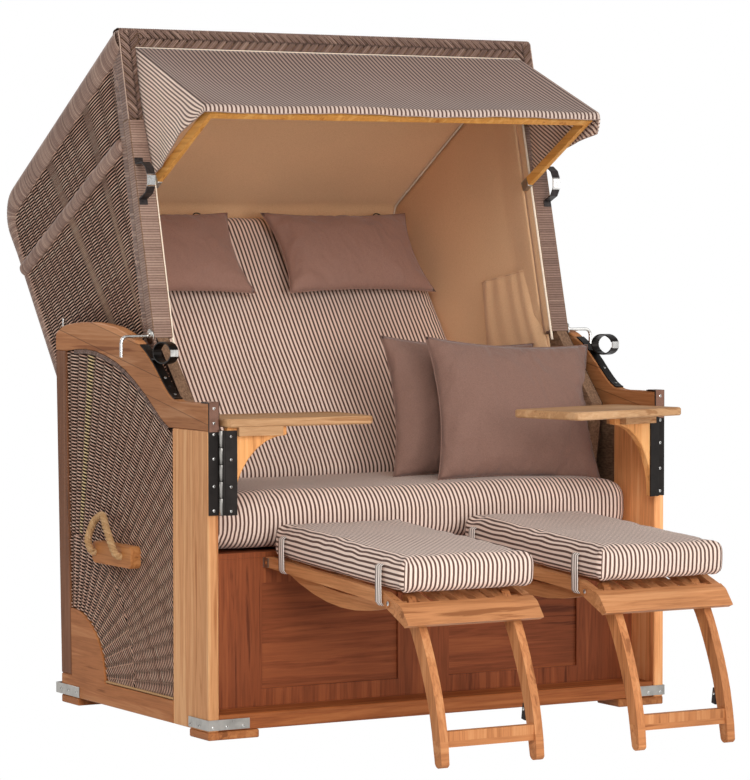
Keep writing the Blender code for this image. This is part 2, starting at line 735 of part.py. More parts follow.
def add_arm_fittings(side):
    name = NAMES[side]
    middle = side * (POST_INNER + BOARD / 2)

    # A steel strip along the arch, with a ring bent up from it
    near, far = BASE_DEPTH * BAND_FRONT_SHARE, BASE_DEPTH * BAND_REAR_SHARE
    run = [(y, z) for y, z in ARCH_OUTER if near < y < far]
    run = [(near, band_height(near)), *run, (far, band_height(far))]
    low = offset_curve(run, GAP * 2)
    high = offset_curve(run, GAP * 2 + STRAP_STEEL)
    sides = sorted((middle - BAND_WIDTH / 2, middle + BAND_WIDTH / 2))
    band = prism("arm_band_" + name, "base", "dark_steel", [*low, *reversed(high)], *sides)
    loop_y = BASE_DEPTH * BAND_LOOP_SHARE
    foot_y = loop_y + BAND_TONGUE_REACH
    shelf = band_height(foot_y) + STRAP_STEEL
    loop_z = shelf + BAND_LOOP_HALF_HEIGHT * 2 / 3
    ring = [Vector((middle, y, z)) for y, z in
            arc((loop_y, loop_z), BAND_LOOP_HALF_LENGTH, BAND_LOOP_HALF_HEIGHT, 198, 522, 20)]
    loop = sweep("band_loop_" + name, "base", "dark_steel", ring,
                 strip_section(BAND_WIDTH, STRAP_STEEL), X_AXIS, tool=True)
    tip_y = loop_y + BAND_LOOP_HALF_LENGTH * 2 / 3
    tongue = [(tip_y, shelf - STRAP_STEEL / 2), (foot_y, shelf - STRAP_STEEL / 2),
              (foot_y + STRAP_STEEL, shelf + STRAP_STEEL / 2), (tip_y, shelf + STRAP_STEEL / 2)]
    inset = BITE / 4
    sides = sorted((middle - BAND_WIDTH / 2 + inset, middle + BAND_WIDTH / 2 - inset))
    fuse(band, loop, prism("band_tongue_" + name, "base", "dark_steel", tongue, *sides, tool=True))

    # The leaf of the table hinge stands on the post and turns over the armrest's front edge
    front = -GAP
    face = front - LEAF_THICKNESS
    top = ARM_HEIGHT + GAP
    outline = [(front, HINGE_BOTTOM), (front, top), (LEAF_TURNOVER, top),
               (LEAF_TURNOVER, top + LEAF_THICKNESS), (face, top + LEAF_THICKNESS), (face, HINGE_BOTTOM)]
    inset = GAP * 3
    sides = sorted((side * (POST_INNER - inset), side * (HALF_BASE - inset)))
    prism("post_hinge_leaf_" + name, "base", "dark_steel", outline, *sides)

    # The corner bracket wraps the lower front corner
    bottom = FOOT_HEIGHT + BRACKET_LIFT
    outer = HALF_BASE + GAP
    front_y = -GAP
    outline = [(side * outer, BRACKET_SIDE_LENGTH), (side * outer, front_y),
               (side * (HALF_BASE - BRACKET_FRONT_LENGTH), front_y),
               (side * (HALF_BASE - BRACKET_FRONT_LENGTH), front_y - BRACKET_THICKNESS),
               (side * (outer + BRACKET_THICKNESS), front_y - BRACKET_THICKNESS),
               (side * (outer + BRACKET_THICKNESS), BRACKET_SIDE_LENGTH)]
    prism("corner_bracket_" + name, "base", "steel", outline, bottom, bottom + BRACKET_HEIGHT,
          u=X_AXIS, v=Y_AXIS)


def add_rope_handle(side):
    name = NAMES[side]
    face = WEAVE_OUTER + GAP
    outer = face + CLEAT_THICKNESS
    low, high = CLEAT_BOTTOM, CLEAT_BOTTOM + CLEAT_HEIGHT
    chamfer = CLEAT_THICKNESS / 3
    middle = BASE_DEPTH * CLEAT_CENTRE_SHARE
    near, far = middle - CLEAT_LENGTH / 2, middle + CLEAT_LENGTH / 2
    outline = [(near, low + chamfer), (near + chamfer, low), (far - chamfer, low), (far, low + chamfer),
               (far, high - chamfer), (far - chamfer, high), (near + chamfer, high), (near, high - chamfer)]
    cleat = prism("handle_cleat_" + name, "base", "wood_pale", outline, *sorted((side * face, side * outer)))
    round_edges(cleat, BOARD_EDGE)

    # The rope comes out of the cleat's face, leans back over its top edge and goes in again
    foot = CLEAT_BOTTOM + CLEAT_HEIGHT / 2
    start_x = outer + GAP * 2
    out_x = start_x + ROPE_STANDOFF
    top_x = face + ROPE_RADIUS + CLEAT_THICKNESS / 2
    front, rear = middle - ROPE_FRONT_REACH, middle + ROPE_REAR_REACH
    span = rear - front
    corner_y = span / 5
    rise = ROPE_RISE + CLEAT_HEIGHT / 2
    top = foot + rise
    peak = front + span * 3 / 4
    points = [(start_x, front, foot), (out_x - ROPE_RADIUS / 2, front, foot),
              (out_x, front + corner_y / 4, foot + rise / 5),
              (top_x + ROPE_RADIUS, front + span * 2 / 5, foot + rise * 2 / 3),
              (top_x, peak - corner_y / 2, top - ROPE_RADIUS / 3), (top_x, peak, top),
              (top_x + ROPE_RADIUS / 2, rear + corner_y / 5, top - rise / 4),
              (out_x, rear + corner_y / 3, foot + rise / 4),
              (out_x - ROPE_RADIUS / 2, rear, foot), (start_x, rear, foot)]
    path = [Vector((side * x, y, z)) for x, y, z in [points[0], *smooth(points[1:-1], 3), points[-1]]]
    sweep("rope_handle_" + name, "base", "rope", path, circle(ROPE_RADIUS, 8),
          Vector((side, 0, ROPE_LEAN_SHARE)), smooth=True)


# Hood

TOP = Vector((AXLE_Y - HOOD_FRONT_SETBACK, AXLE_Z + HOOD_HEIGHT))
DOWN = Vector((-math.sin(HOOD_LEAN), -math.cos(HOOD_LEAN)))
BACKWARD = Vector((math.cos(HOOD_LEAN), -math.sin(HOOD_LEAN)))
ROOF_WAY = Vector((math.cos(ROOF_PITCH), -math.sin(ROOF_PITCH)))
BACK_WAY = Vector((-math.cos(BACK_SLOPE), -math.sin(BACK_SLOPE)))
BACK_INWARD = Vector((-math.sin(BACK_SLOPE), math.cos(BACK_SLOPE)))
REAR_CORNER = TOP + ROOF_WAY * ROOF_LENGTH
BACK_LENGTH = (REAR_CORNER.y - AXLE_Z - BACK_FOOT_RISE) / math.sin(BACK_SLOPE)
BACK_FOOT = REAR_CORNER + BACK_WAY * BACK_LENGTH


def front_point(down, backward):
    return TOP + DOWN * down + BACKWARD * backward


def roof_start():
    """Where the roof's top line meets the rear face of the rim."""
    depth = RIM_DEPTH + GAP
    return TOP + ROOF_WAY * (depth / ROOF_WAY.dot(BACKWARD))


def add_hood_side(side):
    name = NAMES[side]
    corner = fillet(REAR_CORNER, TOP, BACK_FOOT, HOOD_CORNER_RADIUS, 6)
    lug = arc((AXLE_Y, AXLE_Z), LUG_RADIUS, LUG_RADIUS, 0, -180, 8)
    behind_rim = front_point(HOOD_FRONT_LENGTH + GAP, RIM_DEPTH + GAP)
    below_rim = front_point(HOOD_FRONT_LENGTH + GAP, 0)
    base_z = SEAT_TOP + CHEEK_BASE_CLEARANCE
    toe = (AXLE_Y - CHEEK_TOE_REACH, AXLE_Z + CHEEK_TOE_RISE)
    outline = [tuple(roof_start()), *corner, tuple(BACK_FOOT), *lug, (AXLE_Y - LUG_FRONT_REACH, base_z),
               (AXLE_Y - CHEEK_HEEL_REACH, base_z), toe, tuple(below_rim), tuple(behind_rim)]
    sides = sorted((side * HALF_HOOD, side * (HALF_HOOD - WALL)))
    wall = prism("hood_side_" + name, "hood", "weave", outline, *sides)
    hole = cylinder("hood_axle_hole_" + name, "hood", "steel",
                    Vector((side * (HALF_HOOD - WALL - OVERRUN), AXLE_Y, AXLE_Z)),
                    Vector((side * (HALF_HOOD + OVERRUN), AXLE_Y, AXLE_Z)),
                    AXLE_RADIUS + PIN_PLAY, tool=True)
    cut(wall, hole)


def add_hood_shell():
    outer = [tuple(roof_start()), *fillet(REAR_CORNER, TOP, BACK_FOOT, HOOD_CORNER_RADIUS, 6),
             tuple(BACK_FOOT)]
    inner_start = roof_start() + DOWN * (WALL / math.cos(ROOF_PITCH - HOOD_LEAN))
    half_angle = (-ROOF_WAY).angle(BACK_WAY) / 2
    inner_corner = REAR_CORNER + (BACK_WAY - ROOF_WAY).normalized() * (WALL / math.sin(half_angle))
    inner_foot = BACK_FOOT + BACK_INWARD * WALL
    inner = [tuple(inner_foot),
             *fillet(inner_corner, inner_foot, inner_start, HOOD_CORNER_RADIUS / 3, 4),
             tuple(inner_start)]
    half = HALF_HOOD - WALL - GAP
    shell = prism("hood_shell", "hood", "weave", [*outer, *inner], -half, half)

    # Shallow gaps between the main ribs, which run over the roof and down the back
    past_ends = [tuple(Vector(outer[0]) - ROOF_WAY * OVERRUN), *outer[1:-1],
                 tuple(BACK_FOOT + BACK_WAY * OVERRUN)]
    band = [*offset_curve(past_ends, OVERRUN), *reversed(offset_curve(past_ends, -WEAVE_RELIEF))]
    count = int((2 * half - SHELL_RIB_WIDTH) / SHELL_RIB_PITCH)
    pitch = (2 * half - SHELL_RIB_WIDTH) / count
    bm = bmesh.new()
    for i in range(count):
        start = -half + SHELL_RIB_WIDTH + pitch * i
        add_prism(bm, band, ORIGIN, Y_AXIS, Z_AXIS, start, start + pitch - SHELL_RIB_WIDTH)
    cut(shell, finish_object("shell_gaps", bm, "hood", "weave", tool=True))


def add_rim():
    half_out, half_in = RIM_OUTER_WIDTH / 2, RIM_INNER_WIDTH / 2
    length = HOOD_FRONT_LENGTH
    radius = RIM_CORNER_RADIUS
    left_corner = arc((-half_out + radius, radius), radius, radius, 180, 270, 4)
    right_corner = arc((half_out - radius, radius), radius, radius, 270, 360, 4)
    inner_radius = radius / 2
    inner_right = arc((half_in - inner_radius, RIM_TOP_HEIGHT + inner_radius), inner_radius,
                      inner_radius, 0, -90, 3)
    inner_left = arc((-half_in + inner_radius, RIM_TOP_HEIGHT + inner_radius), inner_radius,
                     inner_radius, -90, -180, 3)
    outline = [(-half_out, length), *left_corner, *right_corner, (half_out, length),
               (half_in, length), *inner_right, *inner_left, (-half_in, length)]
    down = Vector((0, DOWN.x, DOWN.y))
    rim = prism("hood_rim", "hood", "weave", outline, 0, RIM_DEPTH,
                origin=Vector((0, TOP.x, TOP.y)), u=X_AXIS, v=down)
    return rim


def front_3d(x, down, backward):
    point = front_point(down, backward)
    return Vector((x, point.x, point.y))


def add_hood_fittings(rim):
    pivot = front_point(AWNING_DROP, AWNING_SETBACK)
    lever = front_point(LEVER_DOWN, LEVER_INSET)
    for side in (LEFT, RIGHT):
        name = NAMES[side]
        # A bent strip on the front of the rim, to pull the hood by
        x = side * (RIM_OUTER_WIDTH / 2 - HANDLE_WIDTH / 2 - HANDLE_SETIN)
        gap = -STRAP_STEEL / 2 - GAP
        top = HANDLE_DROP
        low = HANDLE_DROP + HANDLE_LENGTH
        tab = HANDLE_LENGTH / 8
        points = [(top, gap), (top + tab, gap)]
        for i in range(7):
            angle = math.pi * i / 6
            down = top + tab + (HANDLE_LENGTH - 2 * tab) * (0.5 - 0.5 * math.cos(angle))
            points.append((down, gap - HANDLE_REACH * math.sin(angle) ** 0.7 - STRAP_STEEL * math.sin(angle)))
        points += [(low - tab, gap), (low, gap)]
        path = []
        for down, backward in points:
            spot = front_3d(x, down, backward)
            if not path or (spot - path[-1]).length > STRAP_STEEL:
                path.append(spot)
        sweep("hood_handle_" + name, "hood", "steel", path,
              strip_section(HANDLE_WIDTH, STRAP_STEEL), X_AXIS)

        # Holes in the rim for the awning's pin and for the locking lever
        inner = RIM_INNER_WIDTH / 2
        cut(rim, cylinder("awning_hole_" + name, "hood", "steel",
                          Vector((side * (inner - OVERRUN), pivot.x, pivot.y)),
                          Vector((side * (inner + AWNING_PIN_REACH), pivot.x, pivot.y)),
                          AWNING_PIN_RADIUS + PIN_PLAY, sides=12, tool=True))
        outer = RIM_OUTER_WIDTH / 2
        cut(rim, cylinder("lever_hole_" + name, "hood", "steel",
                          Vector((side * (outer - LEVER_STUB - PIN_PLAY), lever.x, lever.y)),
                          Vector((side * (outer + OVERRUN), lever.x, lever.y)),
                          LEVER_RADIUS + PIN_PLAY, sides=12, tool=True))

        # The locking lever crosses the arch rail and hangs down outside it
        body = "lever_" + name
        start = Vector((side * (outer - LEVER_STUB), lever.x, lever.y))
        bend = side * (outer + LEVER_REACH)
        path = [start, Vector((side * outer, lever.x, lever.y))]
        for i in range(5):
            angle = math.pi / 2 * i / 4
            path.append(Vector((bend - side * LEVER_BEND * (1 - math.sin(angle)), lever.x,
                                lever.y - LEVER_BEND * (1 - math.cos(angle)))))
        path.append(Vector((bend, lever.x, lever.y - LEVER_DROP)))
        rod = sweep("lock_lever_" + name, body, "steel", path, circle(LEVER_RADIUS, 10), Y_AXIS,
                    smooth=True)
        washer_in = side * (outer + PIN_PLAY)
        washer = cylinder("lever_washer_" + name, body, "steel", Vector((washer_in, lever.x, lever.y)),
                          Vector((washer_in + side * WASHER_THICKNESS, lever.x, lever.y)),
                          WASHER_RADIUS, tool=True)
        fuse(rod, washer)


def add_awning():
    pivot = front_point(AWNING_DROP, AWNING_SETBACK)
    way = Vector((-math.cos(AWNING_RISE), math.sin(AWNING_RISE)))
    up = Vector((math.sin(AWNING_RISE), math.cos(AWNING_RISE)))
    tip = pivot + way * AWNING_ARM_LENGTH
    outer = RIM_INNER_WIDTH / 2 - AWNING_SIDE_CLEARANCE
    inner = outer - AWNING_ARM_THICKNESS
    half = AWNING_ARM_WIDTH / 2
    u = Vector((0, way.x, way.y))
    v = Vector((0, up.x, up.y))
    origin = Vector((0, pivot.x, pivot.y))
    bar_start = AWNING_ARM_LENGTH - AWNING_BAR_WIDTH / 2
    outline = [(bar_start, -half), (bar_start + AWNING_BAR_WIDTH, -half),
               (bar_start + AWNING_BAR_WIDTH, half), (bar_start, half)]
    frame = prism("awning_frame", "awning", "wood_pale", outline, -outer, outer, origin=origin, u=u, v=v)
    for side in (LEFT, RIGHT):
        name = NAMES[side]
        # u x v points along -X here, so the extrusion runs from high to low x
        sides = sorted((-side * (outer - BITE / 4), -side * inner))
        shape = [*arc((0, 0), half - BITE / 4, half - BITE / 4, 90, 270, 6),
                 (AWNING_ARM_LENGTH, -half + BITE / 4), (AWNING_ARM_LENGTH, half - BITE / 4)]
        arm = prism("awning_arm_" + name, "awning", "wood_pale", shape, *sides, origin=origin,
                    u=u, v=v, tool=True)
        pin = cylinder("awning_pin_" + name, "awning", "steel",
                       Vector((side * (inner + BITE), pivot.x, pivot.y)),
                       Vector((side * (RIM_INNER_WIDTH / 2 + AWNING_PIN_REACH - PIN_PLAY), pivot.x, pivot.y)),
                       AWNING_PIN_RADIUS, sides=12, tool=True)
        fuse(frame, arm, pin)

    # The cloth: a top that sags a little, a valance in front and a flap on each side
    rear_top = front_point(RIM_TOP_HEIGHT, -GAP * 2)
    rear_low = front_point(AWNING_DROP - FLAP_RISE, -GAP * 2)
    front_top = tip + up * (half + CLOTH_OVERHANG) + way * (AWNING_BAR_WIDTH / 2)
    front_edge = tip + way * (AWNING_BAR_WIDTH / 2 + CLOTH_OVERHANG)
    front_low = front_edge - Vector((0, VALANCE_HEIGHT))
    flap_low = pivot + way * (AWNING_ARM_LENGTH / 2) + up * FLAP_RISE
    sag = (rear_top - front_top).orthogonal().normalized()
    sag *= -math.copysign(CLOTH_SAG, sag.y)
    crest = []
    for i in range(7):
        t = i / 6
        crest.append(rear_top.lerp(front_top, t) + sag * (4 * t * (1 - t)))
    profile = [*[tuple(p) for p in crest], tuple(front_edge), tuple(front_low)]
    inside = offset_curve(profile, CLOTH_THICKNESS)
    half_width = CLOTH_WIDTH / 2
    outline = [*profile, tuple(flap_low), tuple(rear_low)]
    cloth = prism("awning_cloth", "hood", "canvas", outline, -half_width, half_width)
    far = Vector((0, -VALANCE_HEIGHT - OVERRUN))
    hollow = [*inside[:-1], tuple(Vector(inside[-1]) + far / 2), tuple(flap_low + far),
              tuple(rear_low + far + BACKWARD * OVERRUN), tuple(rear_top + BACKWARD * OVERRUN + DOWN * CLOTH_THICKNESS)]
    inner_half = half_width - CLOTH_THICKNESS
    cut(cloth, prism("cloth_hollow", "hood", "canvas", hollow, -inner_half, inner_half, tool=True))


def back_frame():
    """Origin and turning of a frame on the inner face of the hood's back, its y up the slope."""
    origin = BACK_FOOT + BACK_INWARD * (WALL + GAP)
    x = X_AXIS
    y = Vector((0, -BACK_WAY.x, -BACK_WAY.y))
    z = Vector((0, BACK_INWARD.x, BACK_INWARD.y))
    turn = Matrix((x, y, z)).transposed()
    return Vector((0, origin.x, origin.y)), turn


def add_hood_cushions():
    origin, turn = back_frame()
    height = BACK_CUSHION_THICKNESS
    end = BACK_LENGTH - BACK_CUSHION_TOP_GAP
    length = end + BACK_CUSHION_OVERHANG
    centre = origin + turn @ Vector((0, end - length / 2, height / 2))
    pad("back_cushion", "hood", "stripe", (BACK_CUSHION_WIDTH, length, height), centre,
        turn, box_crown(BACK_CROWN, 0), side_steps=3, counts=(14, 12), draw_in=SEAT_DRAW_IN)
    clear = height + BACK_CROWN + GAP * 2 - HEAD_PILLOW_SINK
    top = end - HEAD_PILLOW_INSET
    for side in (LEFT, RIGHT):
        spot = Vector((side * HEAD_PILLOW_X, top - HEAD_PILLOW_HEIGHT / 2, clear + HEAD_PILLOW_THICKNESS / 2))
        pad("head_pillow_" + NAMES[side], "hood", "taupe",
            (HEAD_PILLOW_WIDTH, HEAD_PILLOW_HEIGHT, SEAM), origin + turn @ spot, turn,
            pillow_crown(HEAD_PILLOW_THICKNESS), side_steps=1, counts=(14, 10),
            draw_in=PILLOW_DRAW_IN * HEAD_PILLOW_HEIGHT / SCATTER_SIZE, outline_power=2)


# Swing tables

def add_table(side, swing, tray_front):
    """The left table points to +X and the right one to -X; both are swung towards the front."""
    name = NAMES[side]
    body = "table_" + name
    axis = BODIES[body][1]
    radial = Vector((-side * math.cos(swing), -math.sin(swing), 0))
    forward = Vector((side * math.sin(swing), -math.cos(swing), 0))
    base = Vector((axis.x, axis.y, 0))
    flip = radial.cross(forward).z

    def upright(node, finish, outline, near, far, **extra):
        """Outline in radial and Z, from near to far along forward."""
        away = radial.cross(Z_AXIS).dot(forward)
        return prism(node, body, finish, outline, *sorted((near * away, far * away)), origin=base,
                     u=radial, v=Z_AXIS, **extra)

    def flat(node, finish, outline, low, high, **extra):
        """Outline in radial and forward, from low to high along Z."""
        return prism(node, body, finish, outline, *sorted((low * flip, high * flip)), origin=base,
                     u=radial, v=forward, **extra)

    half = TABLE_BRACKET_THICKNESS / 2
    tray_low = TRAY_TOP - TRAY_THICKNESS
    top = tray_low - GAP
    curve = arc((TABLE_BRACKET_LENGTH, HINGE_BOTTOM), TABLE_BRACKET_LENGTH - TABLE_BRACKET_START
                - TABLE_BRACKET_FOOT, top - BATTEN_HEIGHT - HINGE_BOTTOM, 90, 180, 8)
    outline = [(TABLE_BRACKET_START, HINGE_BOTTOM), (TABLE_BRACKET_START, top),
               (TABLE_BRACKET_LENGTH, top), *curve]
    bracket = upright("table_bracket_" + name, "wood_pale", outline, -half, half)
    round_edges(bracket, BOARD_EDGE)

    knuckle = cylinder("table_hinge_" + name, body, "dark_steel", base + Z_AXIS * HINGE_BOTTOM,
                       base + Z_AXIS * HINGE_TOP, KNUCKLE_RADIUS, smooth=True)
    leaf_near = half + GAP
    leaf = upright("hinge_plate_" + name, "dark_steel",
                   [(TABLE_BRACKET_START / 2, HINGE_BOTTOM + GAP), (TABLE_BRACKET_START + LEAF_WIDTH, HINGE_BOTTOM + GAP),
                    (TABLE_BRACKET_START + LEAF_WIDTH, HINGE_TOP - GAP), (TABLE_BRACKET_START / 2, HINGE_TOP - GAP)],
                   leaf_near, leaf_near + LEAF_THICKNESS, tool=True)
    web = upright("hinge_web_" + name, "dark_steel",
                  [(0, HINGE_BOTTOM + GAP * 2), (TABLE_BRACKET_START - GAP, HINGE_BOTTOM + GAP * 2),
                   (TABLE_BRACKET_START - GAP, HINGE_TOP - GAP * 2), (0, HINGE_TOP - GAP * 2)],
                  0, leaf_near + LEAF_THICKNESS / 2, tool=True)
    fuse(knuckle, web, leaf)

    r0, r1 = TRAY_START, TRAY_START + TRAY_LENGTH
    f0, f1 = tray_front - TRAY_WIDTH, tray_front
    c = TRAY_CORNER
    outline = [*arc((r0 + c, f0 + c), c, c, 180, 270, 3), *arc((r1 - c, f0 + c), c, c, 270, 360, 3),
               *arc((r1 - c, f1 - c), c, c, 0, 90, 3), *arc((r0 + c, f1 - c), c, c, 90, 180, 3)]
    tray = flat("table_top_" + name, "wood_pale", outline, tray_low, TRAY_TOP)
    round_edges(tray, TRAY_EDGE)
    start = TABLE_BRACKET_START + LEAF_WIDTH + GAP
    for place, near, far in (("front", half + GAP, half + GAP + BATTEN_WIDTH),
                             ("rear", -half - GAP - BATTEN_WIDTH, -half - GAP)):
        far = min(far, f1 - BITE)
        if far - near > BITE:
            batten = flat(f"batten_{place}_{name}", "wood_pale",
                          [(start, near), (start + BATTEN_LENGTH, near), (start + BATTEN_LENGTH, far),
                           (start, far)], tray_low - BATTEN_HEIGHT, tray_low + BITE, tool=True)
            fuse(tray, batten)


# Footrests

# Shares of a leg's reach to the front and of its height, from its bolt down to its foot
LEG_CURVE_SHARES = [(0.0, 0.0), (0.30, 0.155), (0.62, 0.42), (0.86, 0.70), (1.0, 1.0)]


def foot_height(s):
    """Height of the top of a footrest rail over its hinge line, at the distance s to the front."""
    top = FOOTREST_RAIL_HEIGHT / 2 - s * math.tan(FOOTREST_SLOPE)
    if s > FOOTREST_STRAIGHT:
        t = (s - FOOTREST_STRAIGHT) / (FOOTREST_LENGTH - FOOTREST_STRAIGHT)
        top -= FOOTREST_NOSE_DROP * t * t
    return top


def foot_band(start, end, thickness, steps=6, drop=0.0, end_thickness=None):
    """Outline of a strip under the footrest's top line, in Y and Z over the hinge."""
    end_thickness = end_thickness or thickness
    upper, lower = [], []
    for i in range(steps + 1):
        t = i / steps
        s = start + (end - start) * t
        top = foot_height(s) - drop
        upper.append((-s, top))
        lower.append((-s, top - thickness - (end_thickness - thickness) * t))
    return [*upper, *reversed(lower)]


def add_footrest(side):
    name = NAMES[side]
    body = "footrest_" + name
    axis = BODIES[body][1]
    origin = Vector((0, axis.y, axis.z))
    inner, outer = FOOTREST_INNER_X, FOOTREST_INNER_X + FOOTREST_WIDTH

    def across(node, owner, finish, outline, near, far, **extra):
        return prism(node, owner, finish, outline, *sorted((side * near, side * far)), origin=origin, **extra)

    end = FOOTREST_LENGTH
    tip = (-end - NOSE_LEAN, foot_height(end) - NOSE_HEIGHT)
    heel = (tip[0] + NOSE_THICKNESS * 4 / 5, tip[1] - NOSE_HEEL)
    shoulder = end - NOSE_THICKNESS
    edge = NOSE_HEEL / 2
    outline = [(-shoulder, foot_height(shoulder)), (-end + edge, foot_height(end) + edge / 3),
               (-end - edge / 3, foot_height(end) - edge), (tip[0] + edge / 3, tip[1] + edge), tip, heel]
    frame = across("footrest_frame_" + name, body, "wood_pale", outline, inner, outer)
    rail_end = end - BITE * 5
    rail = foot_band(-FOOTREST_RAIL_END, rail_end, FOOTREST_RAIL_HEIGHT, 8, BITE / 5,
                     FOOTREST_RAIL_HEIGHT + NOSE_HEEL)
    middle = len(rail) // 2
    rail = [*rail[:middle], (tip[0] + edge, tip[1] + edge), (heel[0] - edge, heel[1] + BITE / 2),
            *rail[middle + 1:]]
    slat = foot_band(0, rail_end, SLAT_THICKNESS, 6, BITE / 2)
    pieces = []
    for label, near in (("inner", inner + BITE / 4), ("outer", outer - FOOTREST_RAIL)):
        pieces.append(across(f"rail_{label}_{name}", body, "wood_pale", rail, near,
                             near + FOOTREST_RAIL - BITE / 4, tool=True))
    cross_near, cross_far = inner + FOOTREST_RAIL / 2, outer - FOOTREST_RAIL / 2
    for label, start in (("rear", FOOTREST_RAIL_END), ("middle", FOOTREST_STRAIGHT / 2)):
        bar = foot_band(start, start + CROSS_BAR_DEPTH, FOOTREST_RAIL_HEIGHT - BITE * 2, 1, BITE)
        pieces.append(across(f"cross_bar_{label}_{name}", body, "wood_pale", bar, cross_near, cross_far, tool=True))
    leg_inner = inner + 2 * FOOTREST_RAIL
    room = outer - 2 * FOOTREST_RAIL - leg_inner - 2 * (LEG_THICKNESS + BITE)
    pitch = (room - SLAT_WIDTH) / (SLAT_COUNT - 1)
    for i in range(SLAT_COUNT):
        near = leg_inner + LEG_THICKNESS + BITE + pitch * i
        pieces.append(across(f"slat_{i}_{name}", body, "wood_pale", slat, near, near + SLAT_WIDTH, tool=True))
    bow = []
    for i in range(9):
        t = i / 8
        s = BOW_START + (BOW_END - BOW_START) * t
        bow.append((-s, foot_height(s) - BITE * 3 - FOOTREST_RAIL_HEIGHT / 3 - BOW_SAG * 4 * t * (1 - t)))
    bow_low = []
    for i, (y, z) in enumerate(bow):
        share = BOW_END_SHARE + (1 - BOW_END_SHARE) * math.sin(math.pi * i / 8)
        bow_low.append((y, z - BOW_HEIGHT * share))
    bow_outline = [*bow, *reversed(bow_low)]
    for label, near in (("inner", inner + FOOTREST_RAIL - BITE / 2),
                        ("outer", outer - 2 * FOOTREST_RAIL + BITE)):
        pieces.append(across(f"bow_{label}_{name}", body, "wood_pale", bow_outline, near,
                             near + FOOTREST_RAIL - BITE / 2, tool=True))
    for label, near, far in (("inner", inner - EAR_THICKNESS - GAP * 2, inner + BITE),
                             ("outer", outer - BITE, outer + EAR_THICKNESS + GAP * 2)):
        pieces.append(cylinder(f"hinge_pin_{label}_{name}", body, "steel",
                               Vector((side * near, axis.y, axis.z)), Vector((side * far, axis.y, axis.z)),
                               HINGE_PIN_RADIUS, sides=12, tool=True))
    fuse(frame, *pieces)

    # The leg frame hangs on bolts through the rails and stands on the floor
    leg_body = "leg_" + name
    pivot = BODIES[leg_body][1]
    hole_near, hole_far = inner - OVERRUN, outer + OVERRUN
    cut(frame, cylinder("bolt_hole_" + name, body, "steel", Vector((side * hole_near, pivot.y, pivot.z)),
                        Vector((side * hole_far, pivot.y, pivot.z)), LEG_BOLT_RADIUS + PIN_PLAY,
                        sides=12, tool=True))
    top_half, end_half = LEG_TOP_WIDTH / 2, LEG_FOOT_WIDTH / 2
    end_y, end_z = pivot.y - LEG_FOOT_FORWARD, end_half
    drop = pivot.z - end_z
    centres = [(pivot.y - forward * LEG_FOOT_FORWARD, pivot.z - down * drop)
               for forward, down in LEG_CURVE_SHARES]
    middle = smooth(centres, 3)
    left_edge = offset_curve(middle, top_half, end_half)
    right_edge = offset_curve(middle, -top_half, -end_half)
    foot_round = arc((end_y, end_z), end_half, end_half, -25, -155, 6)
    top_round = arc((pivot.y, pivot.z), top_half, top_half, 205, 50, 6)
    outline = [*top_round, *left_edge[2:-1], *foot_round, *reversed(right_edge[2:-1])]
    legs = []
    for label, near in (("inner", inner + 2 * FOOTREST_RAIL + BITE / 2),
                        ("outer", outer - 2 * FOOTREST_RAIL - LEG_THICKNESS - BITE / 2)):
        sides = sorted((side * near, side * (near + LEG_THICKNESS)))
        node = "footrest_leg_" + name if label == "inner" else f"leg_{label}_{name}"
        legs.append(prism(node, leg_body, "wood_pale", leg_outline(outline), *sides, tool=label == "outer"))
    leg = legs[0]
    low = STRETCHER_BOTTOM
    s = (low + STRETCHER_HEIGHT / 2 - end_z) / drop
    centre_y = end_y + LEG_FOOT_FORWARD * 0.10 * s * 4
    near, far = inner + 2 * FOOTREST_RAIL + LEG_THICKNESS / 2, outer - 2 * FOOTREST_RAIL - LEG_THICKNESS / 2
    stretcher = block("stretcher_" + name, leg_body, "wood_pale",
                      *sided(side, near, far, centre_y - STRETCHER_THICKNESS / 2,
                             centre_y + STRETCHER_THICKNESS / 2, low, low + STRETCHER_HEIGHT), tool=True)
    extras = [legs[1], stretcher]
    for label, near, far, head in (
            ("inner", inner + 2 * FOOTREST_RAIL + LEG_THICKNESS / 2, inner - GAP - BITE, -BOLT_HEAD),
            ("outer", outer - 2 * FOOTREST_RAIL - LEG_THICKNESS / 2, outer + GAP + BITE, BOLT_HEAD)):
        extras.append(cylinder(f"bolt_{label}_{name}", leg_body, "steel",
                               Vector((side * near, pivot.y, pivot.z)), Vector((side * far, pivot.y, pivot.z)),
                               LEG_BOLT_RADIUS, sides=12, tool=True))
        seat = far - math.copysign(BITE, head)
        extras.append(cylinder(f"bolt_head_{label}_{name}", leg_body, "steel",
                               Vector((side * seat, pivot.y, pivot.z)),
                               Vector((side * (seat + head), pivot.y, pivot.z)),
                               BOLT_HEAD_RADIUS, sides=12, tool=True))
    fuse(leg, *extras)

    turn = Matrix.Rotation(FOOTREST_SLOPE, 3, "X")
    thickness = FOOT_CUSHION_THICKNESS
    centre_s = FOOT_CUSHION_START + FOOT_CUSHION_LENGTH / 2
    rest = Vector((side * (inner + FOOTREST_WIDTH / 2), -centre_s * math.cos(FOOTREST_SLOPE),
                   FOOTREST_RAIL_HEIGHT / 2 / math.cos(FOOTREST_SLOPE) - centre_s * math.sin(FOOTREST_SLOPE)))
    centre = origin + rest + turn @ Vector((0, 0, thickness / 2 + GAP))
    pad("footrest_cushion_" + name, body, "stripe", (FOOT_CUSHION_WIDTH, FOOT_CUSHION_LENGTH, thickness),
        centre, turn, box_crown(FOOT_CROWN, 0), side_steps=3, counts=(10, 12), draw_in=SEAT_DRAW_IN / 2)


